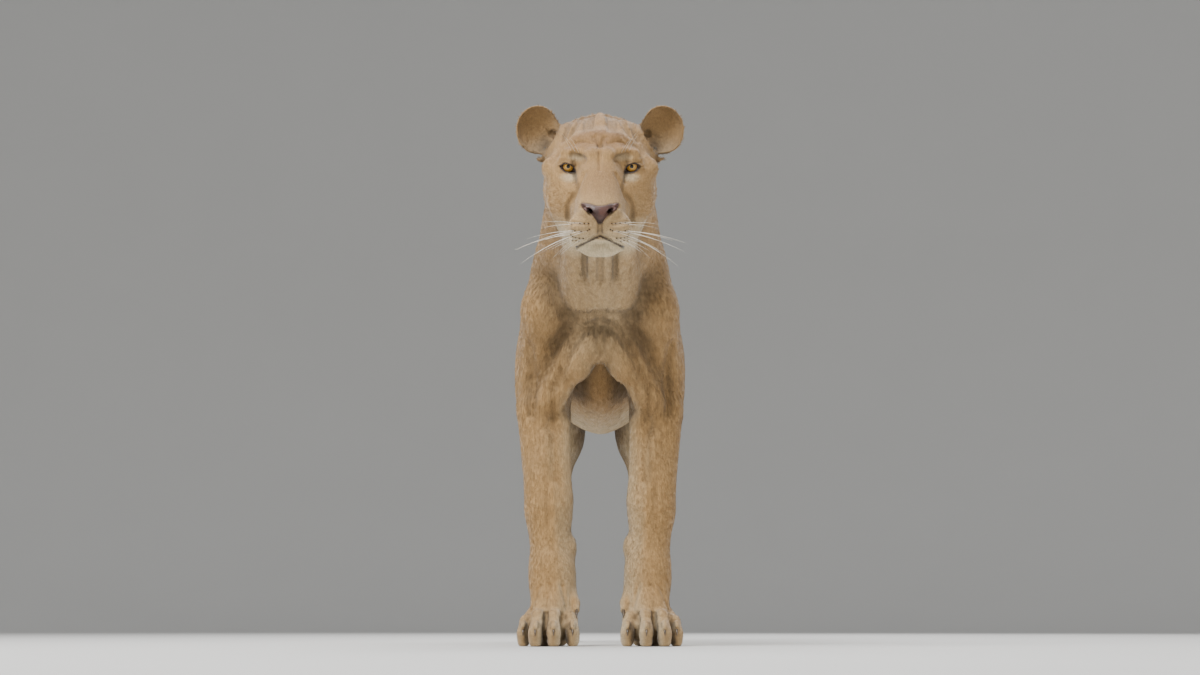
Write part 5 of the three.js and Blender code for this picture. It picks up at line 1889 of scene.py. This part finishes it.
def coat_tree(shapes: Sequence[bpy.types.Object]) -> bpy.types.NodeTree:
    """Builds the tree that grows tufts on the skin, each lying the way the hair lies.

    Args:
        shapes: The tufts it picks from.

    Returns:
        The tree, with named inputs.
    """
    group = bpy.data.node_groups.new("coat_growth", "GeometryNodeTree")
    t = Tree(group)
    for name, kind, value in (("Skin", "Geometry", None), ("Area", "String", None),
                              ("Tufts per area", "Float", 30000.0), ("Length factor", "Float", 1.0),
                              ("Lift", "Float", 0.0), ("Scatter", "Float", 0.2), ("Seed", "Int", 1),
                              ("Material", "Material", None)):
        t.socket(name, kind, value=value)
    t.socket("Coat", "Geometry", "OUTPUT")
    given, out = group.nodes.new("NodeGroupInput").outputs, group.nodes.new("NodeGroupOutput")

    def chance(low: object, high: object, salt: int) -> bpy.types.NodeSocket:
        """Adds a random number for each tuft.

        Args:
            low: Its smallest value.
            high: Its largest value.
            salt: What sets it apart from the other random numbers.

        Returns:
            Its socket.
        """
        seed = t.math("ADD", given["Seed"], float(salt))
        node = t.add("FunctionNodeRandomValue", data_type="FLOAT")
        t.feed(node.inputs[2], low)
        t.feed(node.inputs[3], high)
        t.feed(node.inputs["Seed"], seed)
        return node.outputs[1]

    share = t.math("MULTIPLY", t.stored(given["Area"]), t.stored("density"))
    fine = t.math("POWER", t.math("DIVIDE", 13 * MM, t.stored("length")), 1.15)
    density = t.math("MULTIPLY", t.math("MULTIPLY", share, fine), given["Tufts per area"])
    spread = t.add("GeometryNodeDistributePointsOnFaces", {"Mesh": given["Skin"]}, distribute_method="RANDOM")
    t.feed(spread.inputs["Density"], density)
    t.feed(spread.inputs["Seed"], given["Seed"])
    tone = t.add("GeometryNodeStoreNamedAttribute", {"Geometry": spread.outputs["Points"], "Name": "tone",
                                                      "Value": chance(0.0, 1.0, 11)},
                 data_type="FLOAT", domain="POINT")
    root = t.add("GeometryNodeStoreNamedAttribute", {"Geometry": tone.outputs[0], "Name": "root"},
                 data_type="FLOAT_VECTOR", domain="POINT")
    t.feed(root.inputs["Value"], t.stored("OFBake", "FLOAT_VECTOR"))
    yaw = t.math("MULTIPLY", chance(-1.0, 1.0, 12), given["Scatter"])
    lift = t.math("ADD", given["Lift"], t.math("MULTIPLY", chance(-0.4, 1.0, 13),
                                               t.math("MULTIPLY", given["Scatter"], 0.2)))
    angles = t.add("ShaderNodeCombineXYZ", {"X": lift, "Z": yaw}).outputs[0]
    posed = t.posed("ZY", spread.outputs["Normal"], t.stored("lie", "FLOAT_VECTOR"), angles)
    length = t.math("MULTIPLY", t.stored("length"), given["Length factor"])
    size = t.math("MULTIPLY", length, chance(0.8, 1.2, 14))
    bunch = t.add("GeometryNodeJoinGeometry")
    for shape in shapes:
        info = t.add("GeometryNodeObjectInfo", {"Object": shape, "As Instance": True})
        group.links.new(info.outputs["Geometry"], bunch.inputs[0])
    pick = t.add("FunctionNodeRandomValue", data_type="INT")
    pick.inputs[4].default_value, pick.inputs[5].default_value = 0, len(shapes) - 1
    t.feed(pick.inputs["Seed"], given["Seed"])
    grown = t.add("GeometryNodeInstanceOnPoints", {"Points": root.outputs[0], "Instance": bunch.outputs[0],
                                                   "Pick Instance": True, "Rotation": posed,
                                                   "Scale": size, "Instance Index": pick.outputs[2]})
    solid = t.add("GeometryNodeRealizeInstances", {0: grown.outputs[0]})
    patch = t.vector("MULTIPLY", t.stored("patch", "FLOAT_VECTOR"), (MAP_PATCH, MAP_PATCH, 0.0))
    spot = t.vector("ADD", t.stored("root", "FLOAT_VECTOR"), patch)
    mapped = t.add("GeometryNodeStoreNamedAttribute", {"Geometry": solid.outputs[0], "Name": "OFBake"},
                   data_type="FLOAT2", domain="CORNER")
    t.feed(mapped.inputs["Value"], spot)
    dressed = t.add("GeometryNodeSetMaterial", {"Geometry": mapped.outputs[0], "Material": given["Material"]})
    t.feed(out.inputs["Coat"], dressed.outputs[0])
    return group


KEPT_VALUES = {"OFBake", "tone", "along", "pale", "dark", "rich", "hollow", "position", "sharp_face",
               "material_index"}


def grown(name: str, base: bpy.types.Object, tree: bpy.types.NodeTree, values: dict[str, object],
          ) -> bpy.types.Object:
    """Runs a growth tree on a piece and makes the result a piece of its own.

    Args:
        name: Name of the new piece.
        base: The piece that it grows on.
        tree: The tree.
        values: The tree's inputs by name.

    Returns:
        The new piece, a plain mesh.
    """
    modifier = base.modifiers.new(name, "NODES")
    modifier.show_viewport = False
    modifier.node_group = tree
    for item in tree.interface.items_tree:
        if item.item_type == "SOCKET" and item.in_out == "INPUT" and item.name in values:
            modifier[item.identifier] = values[item.name]
    modifier.show_viewport = True
    graph = bpy.context.evaluated_depsgraph_get()
    graph.update()
    mesh = bpy.data.meshes.new_from_object(base.evaluated_get(graph), preserve_all_data_layers=True,
                                           depsgraph=graph)
    base.modifiers.remove(modifier)
    mesh.name = name
    for layer in [a.name for a in mesh.attributes if a.name not in KEPT_VALUES and a.name[0] != "."]:
        mesh.attributes.remove(mesh.attributes[layer])
    return linked(mesh, name)


@dataclass
class Coat:
    """The short coat, in pieces that each cover one area."""

    skin: bpy.types.Object
    finishes: Finishes
    tufts_per_area: float = 26000.0
    scatter: float = 0.22
    hairs: int = 5
    kinds: int = 4
    tuft_seed: int = 40
    area_seed: int = 100

    def build(self) -> None:
        """Grows every piece of the coat."""
        shapes = [tuft_shape(f"tuft_shape_{i}", self.hairs, self.tuft_seed + i) for i in range(self.kinds)]
        tree = coat_tree(shapes)
        material = self.finishes.coat("coat_hair")
        for i, area in enumerate(CoatArea):
            piece = grown(f"coat_{area.value}", self.skin, tree, {
                "Area": f"area_{area.value}", "Tufts per area": self.tufts_per_area * area.crowding,
                "Scatter": self.scatter, "Seed": self.area_seed + i, "Material": material, "Lift": area.lift})
            dress(piece, material, area.slot)
        for shape in shapes:
            bpy.data.objects.remove(shape)


# ---- Eyes, nose, claws, whiskers ----------------------------------------------------


def tube_mesh(path: Array, radii: Sequence[float], sides: int = 10) -> tuple[list, list]:
    """A closed tube along a path, drawn to a point at both ends.

    Args:
        path: Its middle line.
        radii: Its radius at each point.
        sides: How many sides it has.

    Returns:
        Points and faces.
    """
    path = np.asarray(path, float)
    run = np.gradient(path, axis=0)
    run /= np.linalg.norm(run, axis=1, keepdims=True)
    up = np.array([1.0, 0.0, 0.0]) if abs(run[0][0]) < 0.8 else np.array([0.0, 0.0, 1.0])
    points, faces = [path[0]], []
    for p, r, d in zip(path, radii, run):
        u = np.cross(d, up)
        u /= np.linalg.norm(u)
        v = np.cross(d, u)
        up = np.cross(u, d)
        points += [p + r * (math.cos(a) * u + math.sin(a) * v) for a in np.arange(sides) * math.tau / sides]
    points.append(path[-1])
    last = len(points) - 1
    for i in range(sides):
        j = (i + 1) % sides
        faces.append((0, 1 + i, 1 + j))
        faces.append((last, last - sides + j, last - sides + i))
        for k in range(len(path) - 1):
            a, b = 1 + k * sides, 1 + (k + 1) * sides
            faces.append((a + i, b + i, b + j, a + j))
    return points, faces


@dataclass
class Eyes:
    """Two eyeballs and the dark rims of their lids."""

    finishes: Finishes
    iris: float = 10.6
    bulge: float = 1.0
    gaze: Point = (0.0, -0.965, -0.26)

    def ball(self, word: str) -> bpy.types.Object:
        """Builds one eyeball, with its cornea raised and its iris measured out.

        Args:
            word: Its side, left or right.

        Returns:
            The eyeball.
        """
        low, high = (np.array(v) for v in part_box(f"eye_{word}"))
        centre, radius = (low + high) / 2, float((high - low).min()) / 2 - 0.2 * MM
        net = bmesh.new()
        bmesh.ops.create_uvsphere(net, u_segments=64, v_segments=48, radius=1.0)
        mesh = bpy.data.meshes.new(f"eyeball_{word}")
        net.to_mesh(mesh)
        net.free()
        gaze = Vector(self.gaze).normalized()
        turn = Vector((0, 0, 1)).rotation_difference(gaze).to_matrix()
        p = np.zeros(len(mesh.vertices) * 3, np.float32)
        mesh.vertices.foreach_get("co", p)
        p = p.reshape(-1, 3)
        angle = np.arccos(np.clip(p[:, 2], -1, 1)) * radius / MM / self.iris
        around = np.arctan2(p[:, 1], p[:, 0])
        spoke = np.stack([np.cos(around) * 3, np.sin(around) * 3, angle * 0.6], 1)
        grow = 1 + self.bulge * MM / radius * (1 - ramp(angle, 0.2, 1.15))
        p = (p * grow[:, None] * radius) @ np.array(turn).T + centre
        mesh.vertices.foreach_set("co", p.astype(np.float32).ravel())
        set_value(mesh, "ring", angle)
        set_value(mesh, "spoke", spoke)
        return linked(mesh, mesh.name)

    def rims(self) -> bpy.types.Object:
        """Builds the dark wet margins of the four lids.

        Returns:
            The margins, one piece.
        """
        c, s = math.cos(math.radians(EYE_SLANT)), math.sin(math.radians(EYE_SLANT))
        points, faces = [], []
        for side in (1, -1):
            for sign, rise, arc in lid_arcs():
                t = np.linspace(-1, 1, 25)
                u = t * EYE_OPENING[0]
                v = sign * (np.sqrt(arc * arc - u * u) - arc + rise)
                x, z = c * u - s * v + OPENING_AT[0], s * u + c * v + OPENING_AT[1]
                reach = EYE_RADIUS + 1.3
                y = EYE[1] - np.sqrt(np.maximum(reach ** 2 - x * x - z * z, 30))
                path = from_head(np.stack([side * (EYE[0] + x), y, z], 1))
                radii = 0.95 * np.clip(1.15 - np.abs(t) ** 6, 0.4, 1)
                some, more = tube_mesh(placed(path), radii * MM, 8)
                faces += [tuple(v + len(points) for v in f) for f in more]
                points += list(some)
        obj = mesh_object("lid_margins", np.array(points), faces)
        outward(obj)
        return obj

    def build(self) -> None:
        """Builds and dresses both eyes."""
        material = self.finishes.eye()
        for word in ("left", "right"):
            dress(self.ball(word), material, "eye", f"eye_{word}")
        dress(self.rims(), self.finishes.rim(), "nose")


@dataclass
class Nose:
    """The bare leather of the nose."""

    shape: SkinShape
    finishes: Finishes
    cell: float = 1.5
    low: Point = (-42, -142, -92)
    high: Point = (42, -96, -44)

    def distance(self, p: Array) -> Array:
        """Field of the leather.

        Args:
            p: Points in the body's frame.

        Returns:
            A distance for each.
        """
        q = to_head(p)
        x, y, z = np.abs(q[:, 0]), q[:, 1], q[:, 2]
        wide, top = leather_edges(x, z)
        walls = (x - wide) * 0.8
        for other in (y + 102 + 0.16 * x, z - top, -z - 86):
            walls = -joined(-walls, -other, 2.5)
        return -joined(-self.shape.anatomy.at(p), -walls, 1.5)

    def build(self) -> None:
        """Builds and dresses the nose."""
        low, high = from_head(np.array([self.low, self.high]))
        low, high = np.minimum(low, high) - (0, 14, 22), np.maximum(low, high) + (0, 14, 22)
        axes = [np.arange(a, b, self.cell) for a, b in zip(low, high)]
        grid = np.stack(np.meshgrid(*axes, indexing="ij"), -1)
        values = self.distance(grid.reshape(-1, 3)).reshape(grid.shape[:3])
        points, quads = surface_net(values, axes)
        obj = mesh_object("nose_leather", placed(points), quads)
        outward(obj)
        dress(obj, self.finishes.leather(), "nose", "nose")


def rooted_tree(shape: bpy.types.Object) -> bpy.types.NodeTree:
    """Builds the tree that stands one shape on each root, along the root's own aim.

    Args:
        shape: The shape, one unit long along +y.

    Returns:
        The tree, with named inputs.
    """
    group = bpy.data.node_groups.new("rooted_growth", "GeometryNodeTree")
    t = Tree(group)
    for name, kind, value in (("Roots", "Geometry", None), ("Size factor", "Float", 1.0),
                              ("Scatter", "Float", 0.1), ("Seed", "Int", 1), ("Material", "Material", None)):
        t.socket(name, kind, value=value)
    t.socket("Grown", "Geometry", "OUTPUT")
    given, out = group.nodes.new("NodeGroupInput").outputs, group.nodes.new("NodeGroupOutput")
    points = t.add("GeometryNodeMeshToPoints", {"Mesh": given["Roots"]}, mode="VERTICES")
    spin = t.add("FunctionNodeRandomValue", data_type="FLOAT_VECTOR")
    t.feed(spin.inputs["Seed"], given["Seed"])
    spin.inputs[0].default_value, spin.inputs[1].default_value = (-1, -1, -1), (1, 1, 1)
    swing = t.add("ShaderNodeVectorMath", {0: spin.outputs[0]}, operation="SCALE")
    t.feed(swing.inputs["Scale"], given["Scatter"])
    posed = t.posed("YZ", t.stored("aim", "FLOAT_VECTOR"), t.stored("up", "FLOAT_VECTOR"), swing.outputs[0])
    info = t.add("GeometryNodeObjectInfo", {"Object": shape, "As Instance": True})
    size = t.math("MULTIPLY", t.stored("reach"), given["Size factor"])
    stood = t.add("GeometryNodeInstanceOnPoints", {"Points": points.outputs[0], "Rotation": posed,
                                                   "Instance": info.outputs["Geometry"], "Scale": size})
    solid = t.add("GeometryNodeRealizeInstances", {0: stood.outputs[0]})
    dressed = t.add("GeometryNodeSetMaterial", {"Geometry": solid.outputs[0], "Material": given["Material"]})
    t.feed(out.inputs["Grown"], dressed.outputs[0])
    return group


@dataclass
class Whiskers:
    """Whiskers in rows on both pads, and the dark spots that they grow from."""

    shape: SkinShape
    finishes: Finishes
    rows: tuple = ((-86.5, 21, 50, 5, 66, 0.08), (-97.5, 20, 54, 6, 112, -0.1),
                   (-108.5, 25, 54, 6, 98, -0.3), (-118, 37, 52, 3, 60, -0.5))
    brows: tuple = (((42, -16, 30), 46), ((48, -12, 32), 58), ((54, -6, 31), 44))
    root_seed: int = 7
    growth_seed: int = 5

    def roots(self) -> tuple[Array, Array, Array]:
        """Sets out the whiskers of her left side, in the head's own frame.

        Returns:
            Root, aim and length of each.
        """
        rng = np.random.default_rng(self.root_seed)
        place, aim, reach = [], [], []
        for z, x0, x1, count, length, tilt in self.rows:
            for k, x in enumerate(np.linspace(x0, x1, count)):
                place.append((x + rng.uniform(-1.5, 1.5), -118, z - 0.1 * (x - x0) + rng.uniform(-1.2, 1.2)))
                sweep = -0.3 + 0.42 * k / count + rng.uniform(-0.08, 0.08)
                aim.append((0.95, sweep, tilt + rng.uniform(-0.1, 0.1)))
                reach.append(length * (0.45 + 0.55 * k / (count - 1)) * rng.uniform(0.85, 1.1))
        for spot, length in self.brows:
            place.append(spot)
            aim.append((0.35, -0.5, 0.8))
            reach.append(length)
        return np.array(place, float), np.array(aim, float), np.array(reach, float)

    @staticmethod
    def base(name: str, place: Array, aim: Array, up: Array, reach: Array) -> bpy.types.Object:
        """Makes the loose points that the shapes stand on.

        Args:
            name: Name of the piece.
            place: The points, in the body's frame.
            aim: Where each shape points.
            up: Where each shape's top points.
            reach: Length of each shape, in millimetres.

        Returns:
            The points as a piece.
        """
        obj = mesh_object(name, placed(place), [])
        for key, values in (("aim", aim), ("up", up), ("reach", reach * MM)):
            set_value(obj.data, key, values)
        return obj

    @staticmethod
    def shapes() -> tuple[bpy.types.Object, bpy.types.Object]:
        """Makes one whisker, one unit long, and one spot.

        Returns:
            The whisker and the spot.
        """
        t = np.linspace(0, 1, 8)
        hair, faces = tube_mesh(np.stack([0 * t, t, -0.16 * t * t], 1), 0.0062 * (1 - t) + 0.0012, 4)
        whisker = mesh_object("whisker_shape", np.array(hair), faces)
        net = bmesh.new()
        bmesh.ops.create_icosphere(net, subdivisions=1, radius=1.0)
        spot = mesh_object("spot_shape", np.array([v.co * Vector((1, 1.25, 0.5)) for v in net.verts]),
                           [[v.index for v in f.verts] for f in net.faces])
        net.free()
        for shape in (whisker, spot):
            outward(shape)
        return whisker, spot

    def build(self) -> None:
        """Grows and dresses whiskers and spots."""
        place, aim, reach = self.roots()
        place = from_head(np.concatenate([place, place * (-1, 1, 1)]))
        aim = from_head(np.concatenate([aim, aim * (-1, 1, 1)])) - from_head(np.zeros(3))
        reach = np.concatenate([reach, reach])
        place = self.shape.anatomy.laid(place)
        slope = self.shape.slope(place)[1]
        up = slope / np.maximum(np.linalg.norm(slope, axis=1, keepdims=True), 1e-9)
        whisker, spot = self.shapes()
        across = np.cross(up, (0, 0, 1.0))
        spots = len(place) // 2 - len(self.brows)
        pads = np.r_[0:spots, len(place) // 2:len(place) // 2 + spots]
        jobs = (("whiskers", whisker, place, aim, np.tile((0, 0, 1.0), (len(place), 1)), reach,
                 self.finishes.whisker(), 0.08),
                ("whisker_spots", spot, (place + up * 1.4)[pads], across[pads], up[pads],
                 np.full(len(pads), 1.35), self.finishes.spot(), 0.05))
        for name, shape, spots_at, along_aim, upward, size, material, scatter in jobs:
            base = self.base(f"{name}_roots", spots_at, along_aim, upward, size)
            values = {"Material": material, "Seed": self.growth_seed, "Scatter": scatter}
            dress(grown(name, base, rooted_tree(shape), values), material, "tuft")
            for spare in (base, shape):
                bpy.data.objects.remove(spare)


@dataclass
class Claws:
    """Eighteen hooked claws, each over the CAD claw that it stands for."""

    finishes: Finishes
    forward: float = 18.0
    drop: float = 21.0
    thick: float = 3.4
    root_height: float = 14.0
    dewclaw: Point = (47, -46, 74)

    def one(self, tip: Point) -> tuple[list, list]:
        """Makes a claw from its root, hooked down to its point.

        Args:
            tip: Where its root stands.

        Returns:
            Points and faces.
        """
        t = np.linspace(0, 1, 9)
        path = np.stack([np.full_like(t, tip[0]), tip[1] - self.forward * np.sin(t * 1.9),
                         tip[2] - self.drop * t], 1)
        radii = self.thick * (1 - t ** 1.6) + 0.35
        return tube_mesh(placed(path), radii * MM, 12)

    def build(self) -> None:
        """Builds and dresses all claws."""
        material = self.finishes.horn()
        for leg, table, extra in (("fore", FORE_TOES, [self.dewclaw]), ("hind", HIND_TOES, [])):
            tips = [(row[3], row[4], TOE_TIP + self.root_height) for row in table] + extra
            for side, word in ((1, "left"), (-1, "right")):
                for i, (x, y, z) in enumerate(tips):
                    points, faces = self.one((side * x, y, z))
                    obj = mesh_object(f"hooked_claw_{leg}_{i + 1}_{word}", np.array(points), faces)
                    outward(obj)
                    dress(obj, material, "claw", f"claw_{leg}_{i + 1}_{word}")


# ---- Stage --------------------------------------------------------------------------


@dataclass
class Studio:
    """Floor, soft lights and camera."""

    finishes: Finishes
    camera_at: Point = (0.0, -3.822, 0.040)
    pitch: float = 9.82
    lens: float = 50.0
    # Name, place, width and power of each light, and how bright the sky is
    lights: tuple = (("key_softbox", (-2.0, -3.0, 3.9), 2.2, 290),
                     ("fill_softbox", (3.2, -3.4, 2.2), 3.0, 55),
                     ("top_softbox", (0.0, 0.4, 4.3), 3.4, 150),
                     ("rear_softbox", (1.5, 3.8, 3.4), 3.0, 110))
    sky: float = 0.5
    aimed_at: Point = (0, 0, 0.55)

    def build(self) -> None:
        """Sets up the stage."""
        self.bowl()
        for name, place, size, power in self.lights:
            self.light(name, place, size, power)
        world = bpy.data.worlds.new("studio")
        world.use_nodes = True
        for value, socket in zip((rgb("D9DBDE"), self.sky), world.node_tree.nodes["Background"].inputs):
            socket.default_value = value
        bpy.context.scene.world = world
        self.camera()

    def camera(self) -> None:
        """Sets up the camera, low in front of the animal."""
        data = bpy.data.cameras.new("camera")
        data.lens = self.lens
        data.sensor_width = 36.0
        camera = bpy.data.objects.new("camera", data)
        camera.location = self.camera_at
        camera.rotation_euler = (math.radians(90 + self.pitch), 0, 0)
        bpy.context.scene.collection.objects.link(camera)
        bpy.context.scene.camera = camera

    def bowl(self) -> None:
        """Builds the floor, which curves up into a wall all round."""
        flat, bend, wall, sides = 8.0, 3.0, 3.0, 96
        arc = [(flat + bend * math.sin(a), bend * (1 - math.cos(a))) for a in np.linspace(0, math.pi / 2, 13)]
        rows = [(4.0, 0.0), *arc, (flat + bend, wall + bend)]
        points, faces = [(0.0, 0.0, 0.0)], [(0, 1 + i, 1 + (i + 1) % sides) for i in range(sides)]
        for k, (r, z) in enumerate(rows):
            points += [(r * math.cos(a), r * math.sin(a), z) for a in np.arange(sides) * math.tau / sides]
            if k:
                a, b = 1 + (k - 1) * sides, 1 + k * sides
                faces += [(a + i, b + i, b + (i + 1) % sides, a + (i + 1) % sides) for i in range(sides)]
        floor = mesh_object("floor", np.array(points), faces)
        floor.data.materials.append(self.finishes.floor())

    def light(self, name: str, place: Point, size: float, power: float) -> None:
        """Adds a soft square light that faces the animal.

        Args:
            name: Its name.
            place: Where it stands.
            size: Its width.
            power: Its power, in watts.
        """
        data = bpy.data.lights.new(name, "AREA")
        data.size, data.energy = size, power
        light = bpy.data.objects.new(name, data)
        light.location = place
        aim = Vector(self.aimed_at) - Vector(place)
        light.rotation_euler = aim.to_track_quat("-Z", "Y").to_euler()
        bpy.context.scene.collection.objects.link(light)


def main() -> None:
    """Builds the lioness and her stage."""
    logging.basicConfig(level=logging.INFO, format="%(message)s")
    finishes = Finishes()
    shape = SkinShape(Anatomy.whole())
    Studio(finishes).build()
    skin = Skin(shape).build()
    separate = ("eye", "nose", "claw")
    flesh = [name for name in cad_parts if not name.startswith(separate)]
    Coat(skin, finishes).build()
    dress(skin, finishes.skin(), "coat", *flesh)
    Eyes(finishes).build()
    Nose(shape, finishes).build()
    Whiskers(shape, finishes).build()
    Claws(finishes).build()


if __name__ == "__main__":
    main()
